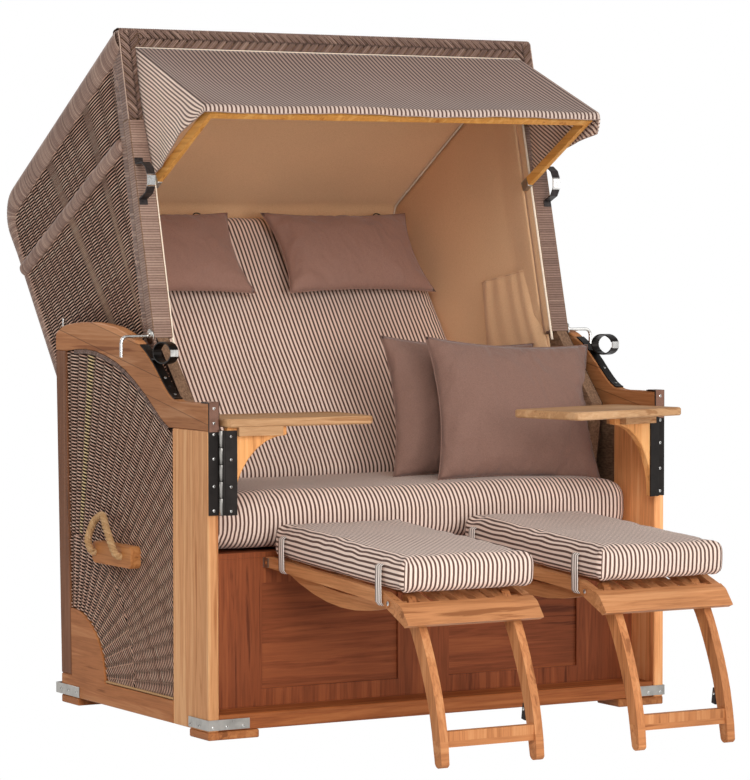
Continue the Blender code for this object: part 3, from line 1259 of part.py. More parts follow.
def leg_outline(points):
    """Drop points that lie too close together."""
    kept = []
    for point in points:
        if not kept or (Vector(point) - Vector(kept[-1])).length > BITE:
            kept.append(point)
    return kept


def add_hinge_rail():
    """A steel rail across the top of the front panel, with an ear at each end of a footrest."""
    face = PANEL_RECESS - GAP
    low, high = FOOTREST_AXIS_Z - EAR_HEIGHT / 2, FOOTREST_AXIS_Z + EAR_HEIGHT / 2 - GAP * 3
    inner, outer = FOOTREST_INNER_X, FOOTREST_INNER_X + FOOTREST_WIDTH
    reach = outer + EAR_THICKNESS + GAP * 2
    rail = block("footrest_hinge_rail", "base", "steel", (-reach, face - STRAP_STEEL, low),
                 (reach, face, high))
    nose = FOOTREST_AXIS_Y - EAR_HEIGHT / 3
    for side in (LEFT, RIGHT):
        for label, near in (("inner", inner - GAP - EAR_THICKNESS), ("outer", outer + GAP)):
            tag = f"{label}_{NAMES[side]}"
            ear = block("ear_" + tag, "base", "steel",
                        *sided(side, near, near + EAR_THICKNESS, nose, face - STRAP_STEEL / 2, low + GAP, high - GAP),
                        tool=True)
            fuse(rail, ear)
            cut(rail, cylinder("ear_hole_" + tag, "base", "steel",
                               Vector((side * (near - BITE), FOOTREST_AXIS_Y, FOOTREST_AXIS_Z)),
                               Vector((side * (near + EAR_THICKNESS + BITE), FOOTREST_AXIS_Y, FOOTREST_AXIS_Z)),
                               HINGE_PIN_RADIUS + PIN_PLAY, sides=12, tool=True))


def add_bodies():
    add_body("base")
    axle = Vector((0, AXLE_Y, AXLE_Z))
    add_body("hood", axle, "base")
    pivot = front_point(AWNING_DROP, AWNING_SETBACK)
    add_body("awning", Vector((0, pivot.x, pivot.y)), "hood")
    for side in (LEFT, RIGHT):
        name = NAMES[side]
        lever = front_point(LEVER_DOWN, LEVER_INSET)
        add_body("lever_" + name, Vector((side * RIM_OUTER_WIDTH / 2, lever.x, lever.y)), "hood")
        add_body("table_" + name, Vector((side * (POST_INNER - TABLE_AXIS_INSET), -TABLE_AXIS_FORWARD, HINGE_BOTTOM)),
                 "base")
        middle = side * (FOOTREST_INNER_X + FOOTREST_WIDTH / 2)
        add_body("footrest_" + name, Vector((middle, FOOTREST_AXIS_Y, FOOTREST_AXIS_Z)), "base")
        height = foot_height(LEG_PIVOT) - LEG_PIVOT_DROP
        add_body("leg_" + name, Vector((middle, FOOTREST_AXIS_Y - LEG_PIVOT, FOOTREST_AXIS_Z + height)),
                 "footrest_" + name)


def centre_on_origin():
    """Move the chair along Y until the middle of its bounding box is over the origin."""
    bpy.context.view_layer.update()
    graph = bpy.context.evaluated_depsgraph_get()
    low, high = math.inf, -math.inf
    for item in bpy.context.scene.objects:
        if item.type == "MESH" and not item.hide_render:
            shown = item.evaluated_get(graph)
            mesh = shown.to_mesh()
            points = np.empty(len(mesh.vertices) * 3)
            mesh.vertices.foreach_get("co", points)
            height = points.reshape(-1, 3)[:, 1] + item.matrix_world.translation.y
            low, high = min(low, height.min()), max(high, height.max())
            shown.to_mesh_clear()
    BODIES["base"][0].location.y -= (low + high) / 2
    bpy.context.view_layer.update()


def build():
    clear_scene()
    add_bodies()
    for side in (LEFT, RIGHT):
        add_side_frame(side)
        add_arm_fittings(side)
        add_rope_handle(side)
    add_front()
    add_hinge_rail()
    add_seat()
    add_scatter_pillows()
    for side in (LEFT, RIGHT):
        add_hood_side(side)
    add_hood_shell()
    add_hood_fittings(add_rim())
    add_hood_cushions()
    add_awning()
    add_table(LEFT, TABLE_SWING_LEFT, TRAY_FRONT_LEFT)
    add_table(RIGHT, TABLE_SWING_RIGHT, TRAY_FRONT_RIGHT)
    for side in (LEFT, RIGHT):
        add_footrest(side)
    centre_on_origin()


build()
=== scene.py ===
"""Looks of the hooded beach chair: weave, wood, striped cloth, cushions, ropes and fittings."""
import json
import math

import bpy
import numpy as np
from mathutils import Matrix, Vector

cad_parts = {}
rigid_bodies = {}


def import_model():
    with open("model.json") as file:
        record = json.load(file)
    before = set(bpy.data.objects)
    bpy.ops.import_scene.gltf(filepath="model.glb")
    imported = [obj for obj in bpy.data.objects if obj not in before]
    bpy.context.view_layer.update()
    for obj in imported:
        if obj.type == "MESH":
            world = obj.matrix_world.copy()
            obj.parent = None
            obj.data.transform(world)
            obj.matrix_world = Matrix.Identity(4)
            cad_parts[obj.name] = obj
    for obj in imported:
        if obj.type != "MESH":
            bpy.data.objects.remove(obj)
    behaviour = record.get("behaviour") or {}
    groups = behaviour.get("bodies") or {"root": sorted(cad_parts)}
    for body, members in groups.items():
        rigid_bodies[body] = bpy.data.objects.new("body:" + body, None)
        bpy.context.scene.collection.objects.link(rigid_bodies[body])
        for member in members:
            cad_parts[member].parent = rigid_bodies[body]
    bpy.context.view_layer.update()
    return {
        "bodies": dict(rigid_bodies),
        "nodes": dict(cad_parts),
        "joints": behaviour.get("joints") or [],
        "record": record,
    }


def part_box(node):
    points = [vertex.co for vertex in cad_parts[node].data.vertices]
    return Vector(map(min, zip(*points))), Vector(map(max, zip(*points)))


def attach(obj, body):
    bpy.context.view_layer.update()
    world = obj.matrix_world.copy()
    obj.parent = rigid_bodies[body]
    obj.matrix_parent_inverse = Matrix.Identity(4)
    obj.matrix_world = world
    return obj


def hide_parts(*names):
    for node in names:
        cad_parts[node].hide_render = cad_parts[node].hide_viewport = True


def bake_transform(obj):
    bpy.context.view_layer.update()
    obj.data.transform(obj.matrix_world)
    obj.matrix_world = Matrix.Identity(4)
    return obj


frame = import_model()
SHIFT = float(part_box("front_post_left")[0][1])      # depth of the front posts' faces
MM = 0.001
RNG = np.random.default_rng(7)


bpy.context.scene.view_settings.view_transform = "Standard"


def node(name):
    """The object of one CAD node."""
    return bpy.data.objects[name]


# Camera, light and floor
CAMERA_PLACE = (-4.0298, -6.8955, 1.0896)
CAMERA_YAW, CAMERA_PITCH, CAMERA_ROLL = 30.155, 2.504, 0.044
CAMERA_LENS, CAMERA_SENSOR = 159.16, 36.0


def make_camera():
    data = bpy.data.cameras.new("camera")
    data.lens = CAMERA_LENS
    data.sensor_width = CAMERA_SENSOR
    data.sensor_fit = "AUTO"
    data.clip_end = 60
    camera = bpy.data.objects.new("camera", data)
    camera.location = CAMERA_PLACE
    camera.rotation_mode = "XYZ"
    camera.rotation_euler = (math.radians(90 - CAMERA_PITCH), math.radians(CAMERA_ROLL),
                             math.radians(-CAMERA_YAW))
    bpy.context.scene.collection.objects.link(camera)
    bpy.context.scene.camera = camera


def area_light(name, place, target, size, power):
    data = bpy.data.lights.new(name, "AREA")
    data.shape = "SQUARE"
    data.size = size
    data.energy = power
    lamp = bpy.data.objects.new(name, data)
    lamp.location = place
    lamp.rotation_euler = (Vector(target) - Vector(place)).to_track_quat("-Z", "Y").to_euler()
    bpy.context.scene.collection.objects.link(lamp)


def make_world(level):
    """An even pale room; the camera, gloss and glass see plain white."""
    world = bpy.data.worlds.new("room")
    bpy.context.scene.world = world
    world.use_nodes = True
    tree = world.node_tree
    tree.nodes.clear()
    out = tree.nodes.new("ShaderNodeOutputWorld")
    room = tree.nodes.new("ShaderNodeBackground")
    room.inputs["Strength"].default_value = level
    white = tree.nodes.new("ShaderNodeBackground")
    mix = tree.nodes.new("ShaderNodeMixShader")
    path = tree.nodes.new("ShaderNodeLightPath")
    tree.links.new(path.outputs["Is Camera Ray"], mix.inputs[0])
    tree.links.new(room.outputs[0], mix.inputs[1])
    tree.links.new(white.outputs[0], mix.inputs[2])
    tree.links.new(mix.outputs[0], out.inputs[0])
    room.inputs["Color"].default_value = (1, 1, 1, 1)
    white.inputs["Color"].default_value = (1, 1, 1, 1)


def make_floor():
    """A large pale floor that is plain white to the camera and to glossy rays."""
    mesh = bpy.data.meshes.new("floor")
    reach = 30
    mesh.from_pydata([(-reach, -reach, 0), (reach, -reach, 0), (reach, reach, 0), (-reach, reach, 0)], [],
                     [(0, 1, 2, 3)])
    floor = bpy.data.objects.new("floor", mesh)
    bpy.context.scene.collection.objects.link(floor)
    floor.location.z = -0.0005
    material = bpy.data.materials.new("floor")
    material.use_nodes = True
    tree = material.node_tree
    shader = tree.nodes["Principled BSDF"]
    shader.inputs["Base Color"].default_value = (0.86, 0.86, 0.86, 1)
    shader.inputs["Roughness"].default_value = 0.9
    glow = tree.nodes.new("ShaderNodeEmission")
    mix = tree.nodes.new("ShaderNodeMixShader")
    path = tree.nodes.new("ShaderNodeLightPath")
    either = tree.nodes.new("ShaderNodeMath")
    either.operation = "MAXIMUM"
    tree.links.new(path.outputs["Is Camera Ray"], either.inputs[0])
    tree.links.new(path.outputs["Is Glossy Ray"], either.inputs[1])
    tree.links.new(either.outputs[0], mix.inputs[0])
    tree.links.new(shader.outputs[0], mix.inputs[1])
    tree.links.new(glow.outputs[0], mix.inputs[2])
    tree.links.new(mix.outputs[0], tree.nodes["Material Output"].inputs[0])
    floor.data.materials.append(material)


make_camera()
make_world(0.50)
make_floor()
area_light("key", (-3.6, -5.8, 4.0), (0, 0, 0.8), 3.0, 180)
area_light("front", (-0.6, -7.4, 1.5), (0, 0, 0.9), 2.4, 170)
area_light("fill", (4.6, -4.2, 3.0), (0, 0, 0.8), 3.5, 70)
area_light("back", (-1.5, 5.0, 4.2), (0, 0, 0.8), 3.0, 60)


# Materials
def linear(rgb):
    """A colour as it looks on a screen, 0 to 255, to the shader's scale."""
    out = []
    for value in rgb:
        c = value / 255
        out.append(c / 12.92 if c <= 0.04045 else ((c + 0.055) / 1.055) ** 2.4)
    return (*out, 1.0)


class Nodes:
    """A short way to write a material's nodes."""

    def __init__(self, name, roughness=0.6, metallic=0.0, specular=0.4):
        self.material = bpy.data.materials.new(name)
        self.material.use_nodes = True
        self.tree = self.material.node_tree
        self.shader = self.tree.nodes["Principled BSDF"]
        self.shader.inputs["Roughness"].default_value = roughness
        self.shader.inputs["Metallic"].default_value = metallic
        self.shader.inputs["Specular IOR Level"].default_value = specular
        self.place = self.add("ShaderNodeTexCoord").outputs["Object"]

    def add(self, kind, **settings):
        made = self.tree.nodes.new(kind)
        for key, value in settings.items():
            setattr(made, key, value)
        return made

    def link(self, a, b):
        self.tree.links.new(a, b)

    def put(self, value, socket):
        if isinstance(value, (int, float, tuple)):
            socket.default_value = value
        else:
            self.link(value, socket)

    def stretch(self, scale, place=None, turn=(0, 0, 0)):
        mapping = self.add("ShaderNodeMapping")
        self.link(place or self.place, mapping.inputs["Vector"])
        mapping.inputs["Scale"].default_value = scale
        mapping.inputs["Rotation"].default_value = turn
        return mapping.outputs["Vector"]

    def noise(self, place, scale, detail=4.0, rough=0.55, twist=0.0):
        made = self.add("ShaderNodeTexNoise")
        self.link(place, made.inputs["Vector"])
        made.inputs["Scale"].default_value = scale
        made.inputs["Detail"].default_value = detail
        made.inputs["Roughness"].default_value = rough
        made.inputs["Distortion"].default_value = twist
        return made.outputs["Fac"]

    def math(self, kind, a, b=0.0, c=0.0):
        made = self.add("ShaderNodeMath", operation=kind)
        for index, value in enumerate((a, b, c)):
            self.put(value, made.inputs[index])
        return made.outputs[0]

    def axis(self, index, place=None):
        made = self.add("ShaderNodeSeparateXYZ")
        self.link(place or self.place, made.inputs[0])
        return made.outputs[index]

    def ramp(self, value, stops, smooth=True):
        made = self.add("ShaderNodeValToRGB")
        self.put(value, made.inputs["Fac"])
        ramp = made.color_ramp
        ramp.interpolation = "EASE" if smooth else "LINEAR"
        while len(ramp.elements) < len(stops):
            ramp.elements.new(0.5)
        for element, (place, colour) in zip(ramp.elements, stops):
            element.position = place
            element.color = colour
        return made.outputs["Color"]

    def blend(self, amount, a, b, kind="MIX"):
        made = self.add("ShaderNodeMix", data_type="RGBA", blend_type=kind)
        self.put(amount, made.inputs[0])
        self.put(a, made.inputs[6])
        self.put(b, made.inputs[7])
        return made.outputs[2]

    def attribute(self, name):
        made = self.add("ShaderNodeAttribute", attribute_name=name)
        return made

    def range(self, value, low, high, to_low=0.0, to_high=1.0):
        made = self.add("ShaderNodeMapRange")
        self.put(value, made.inputs[0])
        for index, number in enumerate((low, high, to_low, to_high)):
            made.inputs[index + 1].default_value = number
        return made.outputs[0]

    def bump(self, height, depth, strength=1.0):
        made = self.add("ShaderNodeBump")
        made.inputs["Strength"].default_value = strength
        made.inputs["Distance"].default_value = depth
        self.link(height, made.inputs["Height"])
        before = self.shader.inputs["Normal"].links
        if before:
            self.link(before[0].from_socket, made.inputs["Normal"])
        self.link(made.outputs[0], self.shader.inputs["Normal"])

    def finish(self, colour, roughness=None):
        self.put(colour, self.shader.inputs["Base Color"])
        if roughness is not None:
            self.put(roughness, self.shader.inputs["Roughness"])
        return self.material


def wood(name, base, dark, light, along, across=38.0, board=None, joints=None, patch=0.5, turned=None):
    """Oiled wood with grain along one axis, growth streaks, pores and a change of tone by board.

    turned gives an axis, a low and a high value and the grain's axis for the part between them.
    """
    n = Nodes(name, specular=0.22)
    long_share = 0.045
    scale = [1.0, 1.0, 1.0]
    scale["xyz".index(along)] = long_share
    place = n.stretch(tuple(scale))
    if turned:
        axis, start, end, other = turned
        value = n.axis("xyz".index(axis))
        part = n.math("MULTIPLY", n.math("GREATER_THAN", value, start), n.math("LESS_THAN", value, end))
        mixed = n.add("ShaderNodeMix", data_type="VECTOR")
        n.link(part, mixed.inputs["Factor"])
        n.link(place, mixed.inputs[4])
        n.link(n.stretch(tuple(long_share if way == other else 1.0 for way in "xyz")), mixed.inputs[5])
        place = mixed.outputs[1]
    streaks = n.noise(place, across, 6.0, 0.6, 0.35)
    fine = n.noise(place, across * 7, 3.0, 0.6)
    broad = n.noise(n.stretch(tuple(s * 0.5 + 0.12 for s in scale)), 7.0, 2.0)
    rings = n.math("SINE", n.math("MULTIPLY", streaks, 34.0))
    grain = n.math("ADD", n.math("MULTIPLY", streaks, 0.72), n.math("MULTIPLY", rings, 0.055))
    grain = n.math("ADD", grain, n.math("MULTIPLY", fine, 0.16))
    colour = n.ramp(grain, [(0.28, linear(dark)), (0.46, linear(base)), (0.70, linear(light))])
    shade = n.range(broad, 0.3, 0.7, 1 - patch * 0.28, 1 + patch * 0.14)
    if board:
        axis, width = board
        cell = n.math("FLOOR", n.math("DIVIDE", n.axis("xyz".index(axis)), width))
        tone = n.add("ShaderNodeTexWhiteNoise", noise_dimensions="1D")
        n.link(cell, tone.inputs["W"])
        shade = n.math("MULTIPLY", shade, n.range(tone.outputs["Value"], 0.0, 1.0, 0.86, 1.08))
    if joints:
        way, pitch, start = joints
        spot = n.add("ShaderNodeVectorMath", operation="DOT_PRODUCT")
        n.link(n.place, spot.inputs[0])
        spot.inputs[1].default_value = way
        turn = n.math("DIVIDE", n.math("ADD", spot.outputs["Value"], start), pitch)
        part = n.math("FRACT", turn)
        tone = n.add("ShaderNodeTexWhiteNoise", noise_dimensions="1D")
        n.link(n.math("FLOOR", turn), tone.inputs["W"])
        shade = n.math("MULTIPLY", shade, n.range(tone.outputs["Value"], 0.0, 1.0, 0.84, 1.12))
        line = n.math("LESS_THAN", part, 0.0022 / pitch)
        shade = n.math("MULTIPLY", shade, n.math("SUBTRACT", 1.0, n.math("MULTIPLY", line, 0.45)))
    bright = n.add("ShaderNodeCombineColor")
    for index in range(3):
        n.link(shade, bright.inputs[index])
    colour = n.blend(1.0, colour, bright.outputs[0], "MULTIPLY")
    n.bump(n.math("ADD", streaks, n.math("MULTIPLY", fine, 0.5)), 0.0006, 0.5)
    return n.finish(colour, n.range(grain, 0.3, 0.7, 0.60, 0.46))


def metal(name, colour, roughness, metallic=1.0, dirt=0.12, marks=0.12):
    """Steel with faint rolling marks and a little dulling."""
    n = Nodes(name, roughness, metallic)
    cloud = n.noise(n.place, 42.0, 5.0)
    scratch = n.noise(n.stretch((1.0, 1.0, 0.05)), 260.0, 3.0)
    base = linear(colour)
    dull = tuple(c * (1 - dirt * 2) for c in base[:3]) + (1.0,)
    n.bump(scratch, 0.0001, marks)
    return n.finish(n.ramp(cloud, [(0.3, dull), (0.62, base)]),
                    n.range(n.math("ADD", cloud, scratch), 0.6, 1.4, roughness * 0.7, roughness * 1.4))


def stripes(name, axis, period, dark, light, share=0.5, offset=0.0, weave=1.0, frame_name=None):
    """Woven cloth with straight stripes across one axis; the stripe may follow a stored place."""
    n = Nodes(name, 0.85, specular=0.2)
    n.shader.inputs["Sheen Weight"].default_value = 0.15
    n.shader.inputs["Sheen Roughness"].default_value = 0.5
    place = n.place
    if frame_name:
        place = n.attribute(frame_name).outputs["Vector"]
    along = n.axis("xyz".index(axis), place)
    wobble = n.noise(n.place, 9.0, 2.0)
    along = n.math("ADD", along, n.math("MULTIPLY", n.math("SUBTRACT", wobble, 0.5), 0.0022))
    part = n.math("FRACT", n.math("DIVIDE", n.math("ADD", along, offset + 10.0), period))
    gap = n.math("ABSOLUTE", n.math("SUBTRACT", part, 0.5))
    edge = 0.035
    line = n.range(gap, share / 2 - edge, share / 2 + edge)
    threads = n.noise(n.place, 900.0, 2.0)
    cloud = n.noise(n.place, 6.0, 3.0)
    colour = n.blend(line, linear(dark), linear(light))
    shade = n.math("MULTIPLY", n.range(threads, 0.3, 0.7, 0.92, 1.06), n.range(cloud, 0.3, 0.7, 0.95, 1.04))
    bright = n.add("ShaderNodeCombineColor")
    for index in range(3):
        n.link(shade, bright.inputs[index])
    colour = n.blend(1.0, colour, bright.outputs[0], "MULTIPLY")
    n.bump(threads, 0.0005 * weave, 0.5)
    return n.finish(colour)


def plain_cloth(name, base, dark, scale=900.0, depth=0.0006, creases=0.0):
    """Plain woven cloth with visible threads both ways, soft change of tone and shallow creases."""
    n = Nodes(name, 0.88, specular=0.15)
    n.shader.inputs["Sheen Weight"].default_value = 0.2
    n.shader.inputs["Sheen Roughness"].default_value = 0.5
    threads = n.noise(n.place, scale, 2.0)
    warp = n.noise(n.stretch((1.0, 1.0, 0.3)), scale * 1.2, 2.0)
    weft = n.noise(n.stretch((0.3, 0.3, 1.0)), scale * 1.2, 2.0)
    cloud = n.noise(n.place, 4.0, 2.0)
    mix = n.math("MULTIPLY", n.math("ADD", n.math("ADD", threads, warp), weft), 1 / 3)
    colour = n.ramp(mix, [(0.30, linear(dark)), (0.62, linear(base))])
    shade = n.range(cloud, 0.3, 0.7, 0.97, 1.03)
    bright = n.add("ShaderNodeCombineColor")
    for index in range(3):
        n.link(shade, bright.inputs[index])
    colour = n.blend(1.0, colour, bright.outputs[0], "MULTIPLY")
    if creases:
        long = n.stretch((1.0, 1.0, 0.45))
        wave = n.math("ADD", n.noise(long, 13.0, 2.0, 0.5, 0.8),
                      n.math("MULTIPLY", n.noise(n.place, 34.0, 1.0), 0.22))
        n.bump(wave, creases, 0.8)
    n.bump(mix, depth, 0.6)
    return n.finish(colour)


def wicker(name, dark, base, light, gold):
    """Flat resin strands; each strand's own tone and gold share, and its painted shade, are stored on its
    mesh.
    """
    n = Nodes(name, 0.42)
    tone = n.attribute("tone").outputs["Color"]
    split = n.add("ShaderNodeSeparateColor")
    n.link(tone, split.inputs[0])
    fleck = n.noise(n.place, 170.0, 4.0)
    value = n.math("ADD", n.math("MULTIPLY", split.outputs[0], 0.78), n.math("MULTIPLY", fleck, 0.22))
    colour = n.ramp(value, [(0.15, linear(dark)), (0.5, linear(base)), (0.85, linear(light))], False)
    colour = n.blend(split.outputs[1], colour, linear(gold))
    # painted shade: strands turn near black and lose their specular where they pass under ribs and on their
    # sides
    painted_shade = n.range(split.outputs[2], 0.12, 0.62)
    colour = n.blend(n.math("MULTIPLY", painted_shade, 0.90), colour, linear((8, 4, 3)))
    n.put(n.range(painted_shade, 0.0, 1.0, 0.35, 0.05), n.shader.inputs["Specular IOR Level"])
    groove = n.noise(n.place, 600.0, 2.0)
    n.bump(groove, 0.0004, 0.35)
    return n.finish(colour, n.range(fleck, 0.3, 0.7, 0.36, 0.55))


# Mesh helpers
def make_piece(name, points, faces, material, body, smooth=True, attributes=None):
    mesh = bpy.data.meshes.new(name)
    points = np.asarray(points, dtype=np.float32)
    if isinstance(faces, np.ndarray):
        count, width = faces.shape
        mesh.vertices.add(len(points))
        mesh.vertices.foreach_set("co", points.ravel())
        mesh.loops.add(count * width)
        mesh.loops.foreach_set("vertex_index", faces.astype(np.int32).ravel())
        mesh.polygons.add(count)
        mesh.polygons.foreach_set("loop_start", np.arange(count, dtype=np.int32) * width)
    else:
        mesh.from_pydata([tuple(p) for p in points.tolist()], [], faces)
    mesh.update(calc_edges=True)
    for key, values in (attributes or {}).items():
        if values.shape[1] == 4:
            layer = mesh.color_attributes.new(key, "FLOAT_COLOR", "POINT")
            layer.data.foreach_set("color", values.astype(np.float32).ravel())
        else:
            layer = mesh.attributes.new(key, "FLOAT_VECTOR", "POINT")
            layer.data.foreach_set("vector", values.astype(np.float32).ravel())
    mesh.validate()
    if smooth:
        mesh.polygons.foreach_set("use_smooth", np.ones(len(mesh.polygons), dtype=bool))
    made = bpy.data.objects.new(name, mesh)
    bpy.context.scene.collection.objects.link(made)
    mesh.materials.append(material)
    if body:
        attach(made, body)
    return made


class Build:
    """Collects many small closed shapes for one mesh."""

    def __init__(self):
        self.points = []
        self.quads = []
        self.tones = []
        self.count = 0

    def add(self, points, quads, tone=(0.5, 0.0), shade=None):
        points = np.asarray(points, dtype=float).reshape(-1, 3)
        self.points.append(points)
        self.quads.append(np.asarray(quads, dtype=np.int64) + self.count)
        tones = np.ones((len(points), 4))
        tones[:, 0] = tone[0]
        tones[:, 1] = tone[1]
        # the third channel holds painted shade, from 0 (none) to 1 (darkest)
        tones[:, 2] = 0.0 if shade is None else shade
        self.tones.append(tones)
        self.count += len(points)

    def tube(self, path, side, up, wide, thick, tone=(0.5, 0.0), sides=6, grow=None, shade=None):
        """A closed strand along a path; side and up are unit vectors at each point of it.

        shade is painted shade: it darkens each point of the path, and then the strand's lower sides get
        painted shade too.
        """
        path = np.asarray(path, dtype=float)
        side = np.broadcast_to(np.asarray(side, dtype=float), path.shape)
        up = np.broadcast_to(np.asarray(up, dtype=float), path.shape)
        turn = math.pi / 2 + np.arange(sides) / sides * 2 * math.pi
        size = np.ones(len(path)) if grow is None else np.asarray(grow, dtype=float)
        rings = (path[:, None, :]
                 + side[:, None, :] * (np.cos(turn) * wide / 2)[None, :, None] * size[:, None, None]
                 + up[:, None, :] * (np.sin(turn) * thick / 2)[None, :, None] * size[:, None, None])
        rows = len(path)
        a = np.arange((rows - 1) * sides).reshape(rows - 1, sides)
        b = np.roll(a, -1, axis=1)
        quads = np.stack([a, b, b + sides, a + sides], axis=-1).reshape(-1, 4)
        caps = []
        for start in (0, (rows - 1) * sides):
            ring = np.arange(start, start + sides)
            if start == 0:
                ring = ring[::-1]
            for k in range(1, sides - 2, 2):
                caps.append([ring[0], ring[k], ring[k + 1], ring[k + 2]])
        if shade is not None:
            # painted shade on the strand's sides and underside
            under = np.clip((0.8 - np.sin(turn)) / 0.95, 0.0, 1.0)
            shade = np.maximum(np.asarray(shade, dtype=float)[:, None], under[None, :]).ravel()
        self.add(rings.reshape(-1, 3), np.concatenate([quads, np.array(caps)]), tone, shade)

    def round_tube(self, path, radius, tone=(0.5, 0.0), sides=10, grow=None):
        """A round rod or cord along any path."""
        path = np.asarray(path, dtype=float)
        way = np.gradient(path, axis=0)
        way /= np.linalg.norm(way, axis=1)[:, None]
        side = np.zeros_like(path)
        first = np.cross(way[0], (0.0, 0.0, 1.0))
        if np.linalg.norm(first) < 0.05:
            first = np.cross(way[0], (1.0, 0.0, 0.0))
        side[0] = first / np.linalg.norm(first)
        for k in range(1, len(path)):
            flat = side[k - 1] - way[k] * np.dot(side[k - 1], way[k])
            side[k] = flat / np.linalg.norm(flat)
        up = np.cross(side, way)
        self.tube(path, side, up, radius * 2, radius * 2, tone, sides, grow)

    def block(self, low, high, tone=(0.5, 0.0), frame=None, soften=0.0):
        """A box with chamfered long edges, in its own frame (place, x way, y way, z way)."""
        low, high = np.asarray(low, float), np.asarray(high, float)
        c = soften
        outline = [(low[0] + c, low[1]), (high[0] - c, low[1]), (high[0], low[1] + c), (high[0], high[1] - c),
                   (high[0] - c, high[1]), (low[0] + c, high[1]), (low[0], high[1] - c), (low[0], low[1] + c)]
        rows = [(low[2], c), (low[2] + c, 0), (high[2] - c, 0), (high[2], c)]
        middle = (low + high) / 2
        points = []
        for z, inward in rows:
            for x, y in outline:
                points.append((x - math.copysign(inward, x - middle[0]),
                               y - math.copysign(inward, y - middle[1]), z))
        points = np.array(points)
        if frame is not None:
            place, ways = frame
            points = np.asarray(place) + points @ np.asarray(ways)
        quads = []
        for r in range(3):
            for k in range(8):
                m = (k + 1) % 8
                quads.append((r * 8 + k, r * 8 + m, r * 8 + m + 8, r * 8 + k + 8))
        for base, flip in ((0, True), (24, False)):
            for k in (1, 3, 5):
                quad = [base, base + k, base + k + 1, base + k + 2]
                quads.append(quad[::-1] if flip else quad)
        self.add(points, quads, tone)

    def disc(self, place, way, radius, height, tone=(0.5, 0.0), sides=20, dome=0.0, soften=0.12):
        """A round head, washer or knuckle standing on a place."""
        way = np.asarray(way, float) / np.linalg.norm(way)
        rings = [(0.0, radius), (height * (1 - soften), radius), (height, radius * (1 - soften))]
        if dome:
            rings += [(height + dome * 0.7, radius * 0.6), (height + dome, radius * 0.12)]
        path = np.array([np.asarray(place, float) + way * h for h, _ in rings])
        first = np.cross(way, (0.3, 0.5, 0.81))
        side = first / np.linalg.norm(first)
        up = np.cross(way, side)
        self.tube(path, side, up, radius * 2, radius * 2, tone, sides, [r / radius for _, r in rings])

    def piece(self, name, material, body, slot, smooth=True):
        return make_piece(name, np.concatenate(self.points), np.concatenate(self.quads), material, body,
                          smooth, {"tone": np.concatenate(self.tones)})


def sharpen(made, angle=35.0):
    """Keeps edges sharper than an angle crisp under smooth shading."""
    made.data.set_sharp_from_angle(angle=math.radians(angle))
    return made


def inside(points, outline):
    """Which 2-D points lie in a closed outline."""
    x, y = points[:, 0], points[:, 1]
    result = np.zeros(len(points), dtype=bool)
    count = len(outline)
    for k in range(count):
        x1, y1 = outline[k]
        x2, y2 = outline[(k + 1) % count]
        crosses = (y1 > y) != (y2 > y)
        where = x1 + (y - y1) * (x2 - x1) / (y2 - y1 if y2 != y1 else 1e-12)
        result ^= crosses & (x < where)
    return result


def runs(mask, least=3):
    """Start and end of each unbroken run of true values."""
    edges = np.flatnonzero(np.diff(np.concatenate([[0], mask.astype(np.int8), [0]])))
    return [(a, b) for a, b in zip(edges[::2], edges[1::2]) if b - a >= least]


STRAND_WIDE, STRAND_THICK, ROW_PITCH, LIFT = 3.8 * MM, 2.3 * MM, 3.9 * MM, 2.0 * MM


def weave(build, lines, rib_number, place, normal, outline, gold=None, flat=None, wide=STRAND_WIDE):
    """Weavers along given 2-D lines, which pass over and under numbered ribs inside an outline.

    place turns 2-D points to 3-D, normal gives the outward way there, rib_number gives each point's
    place among the ribs, with a rib at each whole number. Where flat is 1 the weavers stay on top.
    """
    for row, line in enumerate(lines):
        rib = rib_number(line)
        height = np.cos(math.pi * (rib + row))
        height = np.sign(height) * np.abs(height) ** 0.7
        if flat is not None:
            height = height + (0.55 - height) * flat(line)
        tone = 0.5 + RNG.normal(0, 0.13)
        for a, b in runs(inside(line, outline), 4):
            part = line[a:b]
            points = place(part)
            out = normal(part)
            way = np.gradient(points, axis=0)
            way /= np.linalg.norm(way, axis=1)[:, None]
            side = np.cross(out, way)
            centre = points + out * (LIFT * height[a:b])[:, None]
            # shade: painted shade, darker where a strand dips under a rib
            build.tube(centre, side, out, wide, STRAND_THICK, (float(np.clip(tone, 0.1, 0.9)), 0.0), 5,
                       shade=(1 - height[a:b]) / 2)
            if gold is not None:
                build.tones[-1][:, 1] = np.repeat(gold(part), 5)


def half_round(wide, thick, count=11, power=1.0):
    """A half-round outline of a band that lies on a face, as offsets sideways and outward."""
    turn = np.linspace(math.pi, 0, count)
    return np.stack([np.cos(turn) * wide / 2, np.sin(turn) ** power * thick], axis=-1)


def rounded_box(low, high, radius, per_corner=4):
    """A closed outline of a bar with round edges."""
    points = []
    corners = [(high[0] - radius, high[1] - radius, 0), (low[0] + radius, high[1] - radius, 90),
               (low[0] + radius, low[1] + radius, 180), (high[0] - radius, low[1] + radius, 270)]
    for x, y, start in corners:
        for k in range(per_corner):
            turn = math.radians(start + 90 * k / (per_corner - 1))
            points.append((x + radius * math.cos(turn), y + radius * math.sin(turn)))
    return np.array(points)


RIDGE_SHARES = ((0.0, 0.0), (0.2, 0.8), (0.5, 1.0), (0.8, 0.8), (1.0, 0.0))


